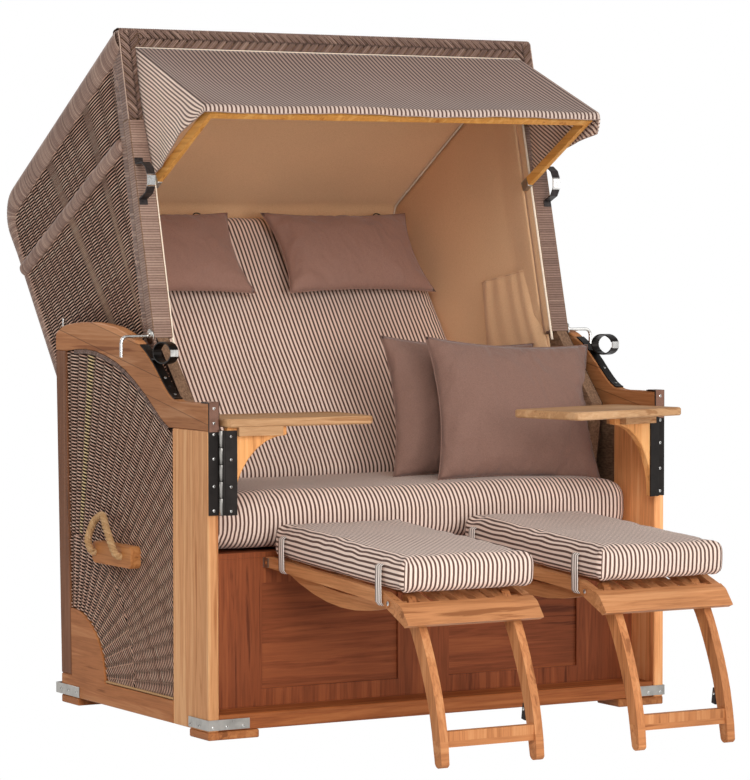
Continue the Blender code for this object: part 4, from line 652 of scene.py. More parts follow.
def wound(build, path, side, up, ring, pitch, ridge=0.9 * MM, closed=False, slant=0.0, spread=0.13,
          groove=0.8,
          grow=None, level=0.5):
    """Strands wound side by side round a bar or over a band; each turn is one rounded ridge.

    ring holds the outline as offsets along side and up; slant is how far its far side runs ahead;
    grow scales the ring at each point of the path, and level is the strands' middle tone.
    groove is how dark the grooves between turns are painted: painted shade.
    """
    path = np.asarray(path, float)
    ring = np.asarray(ring, float)
    side = np.broadcast_to(np.asarray(side, float), path.shape)
    up = np.broadcast_to(np.asarray(up, float), path.shape)
    grow = np.ones(len(path)) if grow is None else np.asarray(grow, float)
    total = np.concatenate([[0], np.cumsum(np.linalg.norm(np.diff(path, axis=0), axis=1))])
    if closed:
        along = np.roll(ring, -1, 0) - np.roll(ring, 1, 0)
    else:
        along = np.gradient(ring, axis=0)
    out = np.stack([along[:, 1], -along[:, 0]], axis=-1)
    out /= np.linalg.norm(out, axis=1)[:, None]
    middle = ring.mean(axis=0)
    if ((ring - middle) * out).sum() < 0:
        out = -out
    reach = np.ptp(ring[:, 0])
    lead = (ring[:, 0] - ring[:, 0].min()) / max(reach, 1e-9) * slant
    turns = max(2, int(round(total[-1] / pitch)))
    count = len(ring)
    grid = np.arange(len(RIDGE_SHARES) * count).reshape(-1, count)
    if closed:
        a, b, c, d = grid[:-1], np.roll(grid, -1, 1)[:-1], np.roll(grid, -1, 1)[1:], grid[1:]
    else:
        a, b, c, d = grid[:-1, :-1], grid[:-1, 1:], grid[1:, 1:], grid[1:, :-1]
    quads = np.stack([a, b, c, d], axis=-1).reshape(-1, 4)

    def at(values, s):
        return np.stack([np.interp(s, total, values[:, k]) for k in range(3)], axis=-1)

    for turn in range(turns):
        tone = float(np.clip(level + RNG.normal(0, spread), 0.08, 0.95))
        rows, shades = [], []
        for share, rise in RIDGE_SHARES:
            # painted shade, darkest in the groove between turns
            shades += [(1 - rise) * groove] * count
            s = np.clip((turn + share) * total[-1] / turns + lead, 0, total[-1])
            spot = ring * np.interp(s, total, grow)[:, None] + out * (ridge * (rise - 0.6))
            rows.append(at(path, s) + at(side, s) * spot[:, :1] + at(up, s) * spot[:, 1:])
        build.add(np.array(rows).reshape(-1, 3), quads, (tone, 0.0), shades)


# Materials of the CAD nodes
HONEY, HONEY_DARK, HONEY_LIGHT = (220, 158, 106), (184, 118, 70), (240, 190, 136)
TEAK, TEAK_DARK, TEAK_LIGHT = (184, 122, 76), (146, 88, 50), (208, 150, 104)
PALE, PALE_DARK, PALE_LIGHT = (200, 154, 110), (168, 120, 78), (220, 180, 138)

ARCH_JOINT_WAY = (0.0, -0.18, 0.984)
WOOD_POST = wood("wood_post", HONEY, HONEY_DARK, HONEY_LIGHT, "z")
# painted light: a lighter copy of the post wood, used on the right post only
WOOD_POST_RIGHT_LIT = wood("wood_post_right_lit", (246, 172, 112), (210, 132, 78), (255, 206, 150), "z")
WOOD_ARCH = wood("wood_arch", TEAK, TEAK_DARK, TEAK_LIGHT, "y", joints=(ARCH_JOINT_WAY, 0.0505, 4.3252))
WOOD_REAR = wood("wood_rear", (124, 78, 50), (92, 54, 32), (146, 98, 66), "z")
WOOD_RAIL = wood("wood_rail", (176, 110, 62), (134, 78, 40), (200, 138, 86), "y")
WOOD_FRONT = wood("wood_front", (170, 98, 52), (124, 62, 28), (194, 122, 70), "x")
PANEL_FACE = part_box("front_panel")[0][1]
WOOD_PANEL = wood("wood_panel", (142, 74, 40), (100, 48, 24), (170, 96, 54), "z",
                  turned=("y", PANEL_FACE + 0.0025, PANEL_FACE + 0.05, "x"))
FRAME_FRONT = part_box("footrest_frame_left")[0][1]
WOOD_SLAT = wood("wood_slat", (200, 136, 88), (152, 94, 54), (222, 162, 112), "y",
                 turned=("y", FRAME_FRONT - 1.0, FRAME_FRONT + 0.060, "x"))
WOOD_LEG = wood("wood_leg", (198, 130, 80), (150, 90, 50), (220, 160, 108), "z",
                turned=("z", -1.0, 0.055, "x"))
WOOD_TRAY = wood("wood_tray", PALE, PALE_DARK, PALE_LIGHT, "x", board=("y", 0.058))
WOOD_BRACKET = wood("wood_bracket", (240, 170, 104), (200, 130, 72), (252, 198, 136), "z")
WOOD_CLEAT = wood("wood_cleat", (190, 124, 70), (148, 88, 44), (212, 150, 94), "y")
WOOD_ARM = wood("wood_arm", (226, 160, 80), (190, 122, 54), (242, 190, 116), "y")
BLACK_STEEL = metal("black_steel", (46, 42, 40), 0.38, 0.85)
BRIGHT_STEEL = metal("bright_steel", (214, 212, 208), 0.24, marks=0.02)
DULL_STEEL = metal("dull_steel", (176, 172, 166), 0.34)
WEAVE = wicker("wicker", (180, 131, 107), (236, 187, 161), (250, 218, 192), (255, 222, 160))
RIM_WEAVE = wicker("wicker_rim", (90, 65, 54), (138, 108, 94), (182, 152, 134), (236, 214, 190))


def plate_behind(name, limit):
    """A woven wall's own plate: near black outside as painted shade behind the strands, plain brown strands
    inside.
    """
    n = Nodes(name, 0.6, specular=0.15)
    fleck = n.noise(n.stretch((1.0, 0.3, 1.0)), 240.0, 4.0)
    # painted shade: the near-black outer colour stands for the shade behind the weave
    outer = n.ramp(fleck, [(0.3, linear((24, 16, 13))), (0.7, linear((46, 33, 28)))])
    inner = n.ramp(fleck, [(0.3, linear((104, 78, 60))), (0.7, linear((142, 110, 86)))])
    inside_face = n.math("LESS_THAN", n.math("ABSOLUTE", n.axis(0)), limit)
    n.bump(fleck, 0.0006, 0.5)
    return n.finish(n.blend(inside_face, outer, inner))


PAINTED_SHADE_PLATE = plate_behind("plate_painted_shade", 0.0)
RIM_PLATE = plate_behind("plate_rim", 1.0)
HOOD_PLATE = plate_behind("plate_hood", 0.5515)
BASE_PLATE = plate_behind("plate_base", abs(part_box("side_weave_left")[1][0]) + 0.0008)


def dress(material, *names):
    for name in names:
        for slot in node(name).material_slots:
            slot.material = material


SIDES = (("left", -1.0), ("right", 1.0))
for side, _ in SIDES:
    dress(WOOD_POST if side == "left" else WOOD_POST_RIGHT_LIT, f"front_post_{side}")
    dress(WOOD_REAR, f"rear_post_{side}")
    dress(WOOD_RAIL, f"side_rail_{side}")
    dress(WOOD_RAIL, f"foot_front_{side}", f"foot_rear_{side}", f"seat_bearer_{side}")
    dress(WOOD_ARCH, f"arch_rail_{side}")
    dress(WOOD_CLEAT, f"handle_cleat_{side}")
    dress(WOOD_BRACKET, f"table_bracket_{side}")
    dress(WOOD_TRAY, f"table_top_{side}")
    dress(WOOD_SLAT, f"footrest_frame_{side}")
    dress(WOOD_LEG, f"footrest_leg_{side}")
    dress(BLACK_STEEL, f"arm_band_{side}", f"post_hinge_leaf_{side}", f"table_hinge_{side}")
    dress(DULL_STEEL, f"corner_bracket_{side}")
    dress(BRIGHT_STEEL, f"hood_handle_{side}", f"lock_lever_{side}")
    dress(BASE_PLATE, f"side_weave_{side}")
    dress(HOOD_PLATE, f"hood_side_{side}")
dress(WOOD_FRONT, "front_rail")
dress(WOOD_PANEL, "front_panel", "rear_panel", "seat_deck")
dress(DULL_STEEL, "footrest_hinge_rail", "hood_axle")
dress(WOOD_ARM, "awning_frame")
dress(PAINTED_SHADE_PLATE, "hood_shell")
dress(RIM_PLATE, "hood_rim")


# Woven panels of the base
def outline_of(name, sign):
    """The outline (depth, height) of a CAD plate, found on its inner face, and its outer level."""
    mesh = node(name).data
    outer = max(sign * v.co.x for v in mesh.vertices) * sign
    level = min(sign * v.co.x for v in mesh.vertices) * sign
    sides = set()
    for face in mesh.polygons:
        spots = [mesh.vertices[i].co for i in face.vertices]
        if all(abs(spot.x - level) < 1e-5 for spot in spots):
            keys = [(round(spot.y, 6), round(spot.z, 6)) for spot in spots]
            sides.update(zip(keys, keys[1:] + keys[:1]))
    after = {a: b for a, b in sides if (b, a) not in sides}
    loops = []
    while after:
        start, here = after.popitem()
        loop = [start]
        while here != start and here in after:
            loop.append(here)
            here = after.pop(here)
        loops.append(loop)
    return np.array(max(loops, key=len)), outer


def pull_in(outline, by):
    """Moves a closed outline inward by a small distance."""
    area = 0.5 * np.sum(outline[:, 0] * np.roll(outline[:, 1], -1) - np.roll(outline[:, 0], -1) * outline[:,
                                                                                                          1])
    way = np.roll(outline, -1, 0) - np.roll(outline, 1, 0)
    way /= np.maximum(np.linalg.norm(way, axis=1)[:, None], 1e-9)
    inward = np.stack([-way[:, 1], way[:, 0]], axis=-1) * (1 if area > 0 else -1)
    return outline + inward * by


FAN_CENTRE, FAN_RIBS, FAN_START, FAN_SPLIT = (0.698 + SHIFT, 0.069), 26, 0.62, 0.33
ROW_CENTRE = np.array([0.715 + SHIFT, -0.12])
GOLD_RIB = 3.0


def side_panel(side, sign):
    """A base side's weave: ribs spread from the lower rear corner and weavers circle round it."""
    outline, level = outline_of(f"side_weave_{side}", sign)
    outline = pull_in(outline, 1.0 * MM)
    centre = np.array(FAN_CENTRE)
    build = Build()

    def polar(points):
        away = points - centre
        return np.hypot(away[:, 0], away[:, 1]), np.degrees(np.arctan2(-away[:, 0], away[:, 1]))

    def rib_number(points):
        radius, turn = polar(points)
        ribs = turn / 90 * FAN_RIBS + FAN_START
        return np.where(radius > FAN_SPLIT, ribs, ribs / 2)

    def place(points):
        return np.stack([np.full(len(points), level + sign * 1.2 * MM), points[:, 0], points[:, 1]], axis=-1)

    def normal(points):
        return np.tile((sign, 0.0, 0.0), (len(points), 1))

    def gold(points):
        radius, _ = polar(points)
        return ((np.abs(rib_number(points) - GOLD_RIB) < 0.36) & (radius > 0.34)).astype(float) * 0.9

    lines = []
    radius = 0.14
    while radius < 1.05:
        turn = np.radians(np.linspace(-12, 88, max(12, int(radius * math.pi / 2 / (6.0 * MM)))))
        lines.append(ROW_CENTRE + np.stack([-np.sin(turn), np.cos(turn)], axis=-1) * radius)
        radius += ROW_PITCH
    weave(build, lines, rib_number, place, normal, outline, gold)
    for k in range(FAN_RIBS + 1):
        turn = math.radians((k + 0.5 - FAN_START) / FAN_RIBS * 90)
        start = 0.10 if k % 2 else FAN_SPLIT
        path = centre + np.outer(np.linspace(start, 1.0, 90), (-math.sin(turn), math.cos(turn)))
        for a, b in runs(inside(path, outline), 3):
            points = place(path[a:b]) - np.array([sign * 0.6 * MM, 0, 0])
            way = np.array([0.0, -math.sin(turn), math.cos(turn)])
            build.tube(points, np.cross((sign, 0, 0), way), (sign, 0, 0), 3.0 * MM, 2.0 * MM, (0.30, 0.0), 4)
    build.piece(f"side_weavers_{side}", WEAVE, "base", "weave")


for side, sign in SIDES:
    side_panel(side, sign)


# Hood: lines shared by its pieces
def shifted(y, z):
    return np.array([y + SHIFT, z])


TOP = shifted(0.520, 1.570)
DOWN = np.array([-0.24615, -0.96923])
BACKWARD = np.array([0.96923, -0.24615])
ROOF_WAY = np.array([0.8522, -0.5232])
BACK_WAY = np.array([-0.6088, -0.7934])
BACK_INWARD = np.array([-0.7934, 0.6088])
ROOF_INWARD = np.array([-0.5232, -0.8522])
REAR_CORNER = shifted(1.1762, 1.1671)
BACK_FOOT = shifted(0.6545, 0.487)
CORNER_RADIUS = 0.075
RIM_OUTER, RIM_INNER, RIM_HEIGHT, RIM_DEPTH, RIM_LENGTH = 0.558, 0.511, 0.042, 0.030, 0.724
HOOD_FACE, SHELL_FACE = 0.553, 0.523


def front_point(down, back=0.0):
    """A place (depth, height) by its distances down the mouth's front line and behind it."""
    return TOP + DOWN * down + BACKWARD * back


def three(x, spot):
    return np.array([x, spot[0], spot[1]])


def hood_profile(outward=0.0, step=8 * MM, start=0.0, foot=0.0):
    """Points and outward ways along the roof, the rear corner and the back."""
    cosine = float(np.dot(ROOF_WAY, BACK_WAY))
    bend = math.acos(cosine)
    tangent = CORNER_RADIUS * math.tan(bend / 2)
    roof_length = np.linalg.norm(REAR_CORNER - TOP)
    back_length = np.linalg.norm(BACK_FOOT - REAR_CORNER)
    points, ways = [], []
    for s in np.arange(start, roof_length - tangent, step):
        points.append(TOP + ROOF_WAY * s)
        ways.append(-ROOF_INWARD)
    centre = REAR_CORNER - ROOF_WAY * tangent + ROOF_INWARD * CORNER_RADIUS
    first = math.atan2(-ROOF_INWARD[1], -ROOF_INWARD[0])
    for t in np.arange(0, bend, step / CORNER_RADIUS):
        way = np.array([math.cos(first - t), math.sin(first - t)])
        points.append(centre + way * CORNER_RADIUS)
        ways.append(way)
    for s in np.arange(tangent, back_length - foot, step):
        points.append(REAR_CORNER + BACK_WAY * s)
        ways.append(-BACK_INWARD)
    points, ways = np.array(points), np.array(ways)
    return points + ways * outward, ways


MID_HEIGHT = 1.10
FAN_SHARES = (0.0, 0.25, 0.5, 0.75, 1.0)
FAN_ANGLES = (14.25, 36.0, 43.0, 42.0, 37.5)
HOOD_SHARES = (-0.30, 0.05, 0.105, 0.166, 0.192, 0.29, 0.345, 0.40, 0.456, 0.512, 0.592, 0.65, 0.992, 1.40)
HOOD_RIBS = (-6.8, -0.5, 0.5, 1.5, 1.5, 2.5, 3.5, 4.5, 5.5, 5.5, 6.5, 7.5, 13.5, 20.6)
ROW_WAY = np.array([-0.915, 0.403])


def hood_share(points):
    """Share of the way from the rim (0) to the back (1); the ribs lean from one's angle to the other's."""
    height = np.maximum(points[:, 1], 0.80) - MID_HEIGHT
    front = front_point((TOP[1] - MID_HEIGHT) / -DOWN[1])[0]
    rear = (REAR_CORNER + BACK_WAY * ((MID_HEIGHT - REAR_CORNER[1]) / BACK_WAY[1]))[0]
    low, high = np.full(len(points), -0.3), np.full(len(points), 1.4)
    lean = np.tan(np.radians(FAN_ANGLES))
    for _ in range(26):
        share = (low + high) / 2
        depth = front + (rear - front) * share + height * np.interp(share, FAN_SHARES, lean)
        low = np.where(depth < points[:, 0], share, low)
        high = np.where(depth < points[:, 0], high, share)
    return low


def hood_panel(side, sign):
    """A hood side's weave between its wound edges."""
    outline, level = outline_of(f"hood_side_{side}", sign)
    outline = pull_in(outline, 2.0 * MM)
    build = Build()

    def place(points):
        return np.stack([np.full(len(points), level + sign * 1.2 * MM), points[:, 0], points[:, 1]], axis=-1)

    def normal(points):
        return np.tile((sign, 0.0, 0.0), (len(points), 1))

    def rib_number(points):
        return np.interp(hood_share(points), HOOD_SHARES, HOOD_RIBS)

    def flat(points):
        share = hood_share(points)
        strip = np.maximum(np.exp(-((share - 0.180) / 0.015) ** 2), np.exp(-((share - 0.484) / 0.022) ** 2))
        return 0.55 * strip * np.exp(-((points[:, 1] - 1.02) / 0.17) ** 4)

    def gold(points):
        return flat(points) * 0.32

    across = np.array([-ROW_WAY[1], ROW_WAY[0]])
    if across[1] < 0:
        across = -across
    start = np.array([0.45, 0.62])
    lines = []
    for row in range(400):
        spot = start + across * (row * ROW_PITCH - 0.30)
        reach = np.arange(-0.95, 0.95, 7.0 * MM)
        line = spot + np.outer(reach, ROW_WAY)
        line[:, 1] += 0.002 * np.sin(line[:, 0] * 9 + row * 0.05)
        lines.append(line[line[:, 1] > 0.60])
    lines = [line for line in lines if len(line) > 5]
    weave(build, lines, rib_number, place, normal, outline, gold, flat, STRAND_WIDE * 0.92)
    build.piece(f"hood_weavers_{side}", WEAVE, "hood", "weave")


for side, sign in SIDES:
    hood_panel(side, sign)


def shell_weave():
    """The roof's and the back's weave on the hood's outside."""
    build = Build()
    points, ways = hood_profile(1.2 * MM, ROW_PITCH * 1.1, RIM_DEPTH + 0.02)
    xs = np.arange(-SHELL_FACE - 0.012, SHELL_FACE + 0.0125, 11.4 * MM)
    ribs = xs / 0.03418
    for row, (spot, way) in enumerate(zip(points, ways)):
        height = np.cos(math.pi * (ribs + row))
        height = np.sign(height) * np.abs(height) ** 0.7 * LIFT
        centre = np.stack([xs, spot[0] + way[0] * height, spot[1] + way[1] * height], axis=-1)
        out = np.array([0.0, way[0], way[1]])
        side = np.cross(out, (1.0, 0.0, 0.0))
        tone = float(np.clip(0.5 + RNG.normal(0, 0.13), 0.1, 0.9))
        # shade: painted shade, darker where a strand dips under a rib
        build.tube(centre, side, out, STRAND_WIDE * 1.08, STRAND_THICK, (tone, 0.0), 5,
                   shade=(1 - height / LIFT) / 2)
    build.piece("hood_weavers_shell", WEAVE, "hood", "weave")


shell_weave()


# Hood: wound edges, bands and rim
ROOF_BAND, ROOF_PROUD, ROOF_BAND_RISE = 0.052, 0.009, 0.015
BRACE_BAND, BRACE_RISE = 0.037, 0.015
RIM_BAND, RIM_BAND_RISE = 0.056, 0.0045
WRAP_PITCH = 5.6 * MM
RIM_WRAP_PITCH = 7.0 * MM
BRACE_START, BRACE_WAY, BRACE_LENGTH = shifted(0.5040, 1.3084), np.array([0.88, -0.473]), 0.632


def hood_edges(side, sign):
    """Wound bands on a hood side: along the roof, round the rear corner, down the back, and the brace."""
    build = Build()
    outward = (sign, 0.0, 0.0)
    points, ways = hood_profile(0.0, 6 * MM, 0.012, 0.0)
    total = np.concatenate([[0], np.cumsum(np.linalg.norm(np.diff(points, axis=0), axis=1))])
    corner = np.linalg.norm(REAR_CORNER - TOP) - RIM_DEPTH
    size = np.interp(total, [0, 0.03, corner - 0.04, corner + 0.12], [0.86, 1.0, 1.0, 0.44])
    proud, band = ROOF_PROUD * size, (ROOF_BAND + ROOF_PROUD) * size
    inward = -ways
    path = three_path(sign * (HOOD_FACE - 0.001), points + inward * (band / 2 - proud)[:, None])
    side_ways = np.stack([np.zeros(len(points)), inward[:, 0], inward[:, 1]], axis=-1)
    turn = np.linspace(0, 2 * math.pi, 17)[:-1]
    ring = np.stack([np.cos(turn) * (ROOF_BAND + ROOF_PROUD) / 2, np.sin(turn) * ROOF_BAND_RISE], axis=-1)
    wound(build, path, side_ways, outward, ring, WRAP_PITCH, 0.7 * MM, True, slant=0.004, groove=0.4,
          grow=size,
          level=0.62)
    brace = BRACE_START + np.outer(np.arange(0, BRACE_LENGTH, 6 * MM), BRACE_WAY)
    brace_side = (0.0, -BRACE_WAY[1], BRACE_WAY[0])
    path = three_path(sign * (HOOD_FACE + 0.001), brace)
    taper = np.interp(np.arange(len(brace)), [0, 2, len(brace) - 3, len(brace) - 1], [0.12, 1.0, 1.0, 0.12])
    wound(build, path, brace_side, outward, half_round(BRACE_BAND, BRACE_RISE, 13), WRAP_PITCH, 0.7 * MM,
          slant=-0.006, groove=0.4, grow=taper, level=0.62)
    start = front_point(0.012, RIM_BAND / 2 + 0.001)
    length = RIM_LENGTH + 0.135
    rim = start + np.outer(np.arange(0, length, 6 * MM), DOWN)
    path = three_path(sign * HOOD_FACE, rim)
    ring = half_round(RIM_BAND, RIM_BAND_RISE, 9, 0.35)
    wound(build, path, (0.0, BACKWARD[0], BACKWARD[1]), outward, ring, RIM_WRAP_PITCH, slant=-0.010,
          ridge=1.0 * MM, groove=0.45)
    build.piece(f"hood_edge_wraps_{side}", RIM_WEAVE, "hood", "weave")


def three_path(x, points):
    return np.stack([np.full(len(points), x), points[:, 0], points[:, 1]], axis=-1)


for side, sign in SIDES:
    hood_edges(side, sign)

BRAID_DEPTH = 0.212         # how far down the side bars the braid runs
BRAID_PITCH, BRAID_STRANDS = 20.5 * MM, 3


def braid(build, corner, run, across, out, length, wide):
    """Herringbone of strand bundles on a bar's face; run and across are unit ways on the face."""
    run, across, out = (np.asarray(v, float) for v in (run, across, out))
    half = wide / 2
    strand = (BRAID_PITCH - 4.2 * MM) / BRAID_STRANDS
    lean = 1.15
    count = int(length / BRAID_PITCH) + 4
    for hand in (-1, 1):
        for bundle in range(-2, count):
            for k in range(BRAID_STRANDS):
                t = np.linspace(0, 1, 8)
                s = (bundle + (0.5 if hand > 0 else 0)) * BRAID_PITCH + k * strand + t * half * lean
                u = hand * (half - t * (half + 0.0035))
                lift = 0.0022 * np.sin(math.pi * np.clip(t * 1.08, 0, 1)) ** 0.7 + 0.0008 * (k == 1)
                lift = lift - 0.0016 * (t > 0.86)
                keep = (s >= -0.001) & (s <= length + 0.001)
                if keep.sum() < 3:
                    continue
                first, last = np.flatnonzero(keep)[[0, -1]]
                path = corner + np.outer(s, run) + np.outer(u + half, across) + np.outer(lift, out)
                way = run * lean + across * (-hand)
                way = way / np.linalg.norm(way)
                # the middle strand of each bundle, which rides highest, is painted lighter: painted highlight
                tone = float(np.clip(0.36 + RNG.normal(0, 0.13) + 0.12 * (k == 1), 0.05, 0.92))
                # shade: painted shade on each strand's end, where it tucks under the other half
                build.tube(path[first:last + 1], np.cross(out, way), out, strand * 0.78, 3.6 * MM,
                           (tone, 0.0), 6,
                           shade=np.clip((t[first:last + 1] - 0.72) * 3.0, 0, 0.8))


def rim():
    """The rim's braid on the top bar and the upper side bars, and wraps below it."""
    build = Build()
    forward = np.array([0.0, -BACKWARD[0], -BACKWARD[1]])
    down = np.array([0.0, DOWN[0], DOWN[1]])
    lift = 1.0 * MM
    width = RIM_OUTER - RIM_INNER
    for sign in (-1.0, 1.0):
        corner = three(sign * RIM_OUTER, front_point(0.002)) + forward * lift
        braid(build, corner, down, (-sign, 0.0, 0.0), forward, BRAID_DEPTH, width)
        edge = sign * (width / 2 + 0.0008)
        ring = [(edge, k * RIM_DEPTH / 2) for k in (-1.0, -0.5, 0.0, 0.5, 0.96)] + [(edge * 0.8,
                                                                                     RIM_DEPTH * 0.53)]
        path = three_path(sign * (RIM_OUTER + RIM_INNER) / 2,
                          front_point(0.001, RIM_DEPTH / 2) + np.outer(np.arange(0, BRAID_DEPTH, 6 * MM),
                                                                       DOWN))
        wound(build, path, (1.0, 0.0, 0.0), (0.0, BACKWARD[0], BACKWARD[1]), ring, RIM_WRAP_PITCH, 1.2 * MM,
              spread=0.08, groove=0.5)
        start = front_point(BRAID_DEPTH + 0.002, RIM_DEPTH / 2)
        path = three_path(sign * (RIM_OUTER + RIM_INNER) / 2,
                          start + np.outer(np.arange(0, RIM_LENGTH - BRAID_DEPTH, 6 * MM), DOWN))
        ring = rounded_box((-width / 2 - 0.0006, -RIM_DEPTH / 2 - 0.0006),
                           (width / 2 + 0.0006, RIM_DEPTH / 2), 0.005)
        # level: the left bars' wraps are painted lighter and the right bars' darker, as painted light and
        # painted shade
        wound(build, path, (1.0, 0.0, 0.0), (0.0, BACKWARD[0], BACKWARD[1]), ring, RIM_WRAP_PITCH * 0.86,
              1.1 * MM, True,
              spread=0.06, groove=0.5, level=0.66 if sign < 0 else 0.46)
        line = front_point(0.004, -0.0012) + np.outer(np.arange(0, BRAID_DEPTH, 10 * MM), DOWN)
        build.round_tube(three_path(sign * (RIM_OUTER + 0.0008), line), 1.5 * MM, (0.93, 0.06), 6)
    corner = three(-RIM_INNER, front_point(0.0)) + forward * lift
    braid(build, corner, (1.0, 0.0, 0.0), down, forward, 2 * RIM_INNER, RIM_HEIGHT)
    top = TOP + BACKWARD * (RIM_DEPTH / 2)
    path = three_path(0.0, np.repeat([top + DOWN * 0.004], 2, axis=0))
    path[:, 0] = (-RIM_OUTER, RIM_OUTER)
    path = np.linspace(path[0], path[1], 180)
    ring = np.array([(-0.0165, -0.004), (-0.0160, 0.006), (-0.008, 0.0098), (0.008, 0.0098), (0.0150, 0.007),
                     (0.0156, -0.006)])
    wound(build, path, (0.0, BACKWARD[0], BACKWARD[1]), (0.0, -DOWN[0], -DOWN[1]), ring, 6.0 * MM, 1.0 * MM,
          groove=0.5)
    low = TOP + DOWN * (RIM_HEIGHT - 0.002) + BACKWARD * (RIM_DEPTH / 2)
    path = np.linspace(three(-RIM_INNER, low), three(RIM_INNER, low), 170)
    wound(build, path, (0.0, BACKWARD[0], BACKWARD[1]), (0.0, DOWN[0], DOWN[1]), ring * (0.8, 0.5), 4.4 * MM,
          0.6 * MM)
    edge = TOP + ROOF_WAY * (RIM_DEPTH + 0.010)
    path = np.linspace(three(-HOOD_FACE + 0.02, edge), three(HOOD_FACE - 0.02, edge), 180)
    wound(build, path, (0.0, ROOF_WAY[0], ROOF_WAY[1]), (0.0, -ROOF_INWARD[0], -ROOF_INWARD[1]),
          half_round(0.034, 0.0065, 9), 6.0 * MM, 0.7 * MM, groove=0.5)
    build.piece("rim_strands", RIM_WEAVE, "hood", "weave")


rim()


# Cloth materials
TAUPE_STRIPE, CREAM_STRIPE = (94, 66, 56), (242, 216, 200)
STRIPE_PERIOD = 10.9 * MM
STRIPE_U = stripes("stripe_across", "x", STRIPE_PERIOD, TAUPE_STRIPE, CREAM_STRIPE, 0.46, frame_name="cloth")
STRIPE_W = stripes("stripe_rise", "z", STRIPE_PERIOD, TAUPE_STRIPE, CREAM_STRIPE, 0.46, frame_name="cloth")
TAUPE = plain_cloth("taupe_cloth", (142, 109, 96), (118, 88, 77), creases=0.016)
LINING = plain_cloth("lining_cloth", (240, 196, 152), (222, 176, 132), 700.0, 0.0002)
PIPING = plain_cloth("piping_cloth", (250, 234, 212), (232, 208, 184), 500.0, 0.0003)
# one striped cloth in three brightnesses: the top darker as painted shade, the side flaps lighter as painted
# light, the front fall in between
AWNING_TOP_SHADED = stripes("awning_top", "x", STRIPE_PERIOD, (70, 48, 41), (164, 136, 122), 0.45,
                     frame_name="cloth")
AWNING_SIDE_LIT = stripes("awning_side_lit", "x", STRIPE_PERIOD, (112, 82, 70), (248, 224, 206), 0.45,
                      frame_name="cloth")
AWNING_FALL_SHADED = stripes("awning_fall_shaded", "x", STRIPE_PERIOD, (92, 68, 60), (206, 184, 170), 0.45,
                      frame_name="cloth")
HEAD = plain_cloth("head_cloth", (166, 128, 113), (138, 104, 92), creases=0.016)
SEAM = plain_cloth("seam_thread", (120, 94, 82), (92, 70, 60), 600.0, 0.0002)
TAPE = stripes("tape_stripe", "y", 9.0 * MM, (104, 78, 70), (244, 232, 222), 0.36)
HEM = plain_cloth("hem_cloth", (176, 150, 136), (128, 102, 90), 500.0, 0.0003)


# Padded pieces
def lattice(half, step, radius):
    """Even places from one side to the other, closer together near the round edges."""
    edge = radius * (1 - np.cos(np.linspace(0, math.pi / 2, 5)))
    inner = np.arange(-half + radius, half - radius, step)[1:]
    inner = inner + ((half - radius) - (inner[-1] + step)) / 2 if len(inner) else inner
    low = -half + edge
    return np.concatenate([low, inner, -low[::-1]])


def box_shell(size, radius, step):
    """A closed box of small quads: corner-welded points and faces, with the side that each face is on."""
    axes = [lattice(size[k] / 2, step, radius) for k in range(3)]
    index, points, quads, sides = {}, [], [], []

    def number(key, spot):
        if key not in index:
            index[key] = len(points)
            points.append(spot)
        return index[key]

    for k in range(3):
        a, b = (k + 1) % 3, (k + 2) % 3
        for end in (0, len(axes[k]) - 1):
            ids = np.empty((len(axes[a]), len(axes[b])), dtype=int)
            for i in range(len(axes[a])):
                for j in range(len(axes[b])):
                    key = [0, 0, 0]
                    key[k], key[a], key[b] = end, i, j
                    spot = [0.0, 0.0, 0.0]
                    spot[k], spot[a], spot[b] = axes[k][end], axes[a][i], axes[b][j]
                    ids[i, j] = number(tuple(key), spot)
            quad = np.stack([ids[:-1, :-1], ids[1:, :-1], ids[1:, 1:], ids[:-1, 1:]], axis=-1).reshape(-1, 4)
            quads.append(quad if end else quad[:, ::-1])
            sides.append(np.full(len(quad), k * 2 + (1 if end else 0)))
    return np.array(points), np.concatenate(quads), np.concatenate(sides)


def ripple(points, scale, seed):
    """Smooth pseudo-random waves through space, from -1 to 1, the same every run."""
    rng = np.random.default_rng(seed)
    total = np.zeros(len(points))
    for _ in range(7):
        way = rng.normal(size=3)
        way /= np.linalg.norm(way)
        total += np.sin(points @ way * scale * rng.uniform(0.6, 1.6) * 2 * math.pi + rng.uniform(0, 6.3))
    return total / 4.0


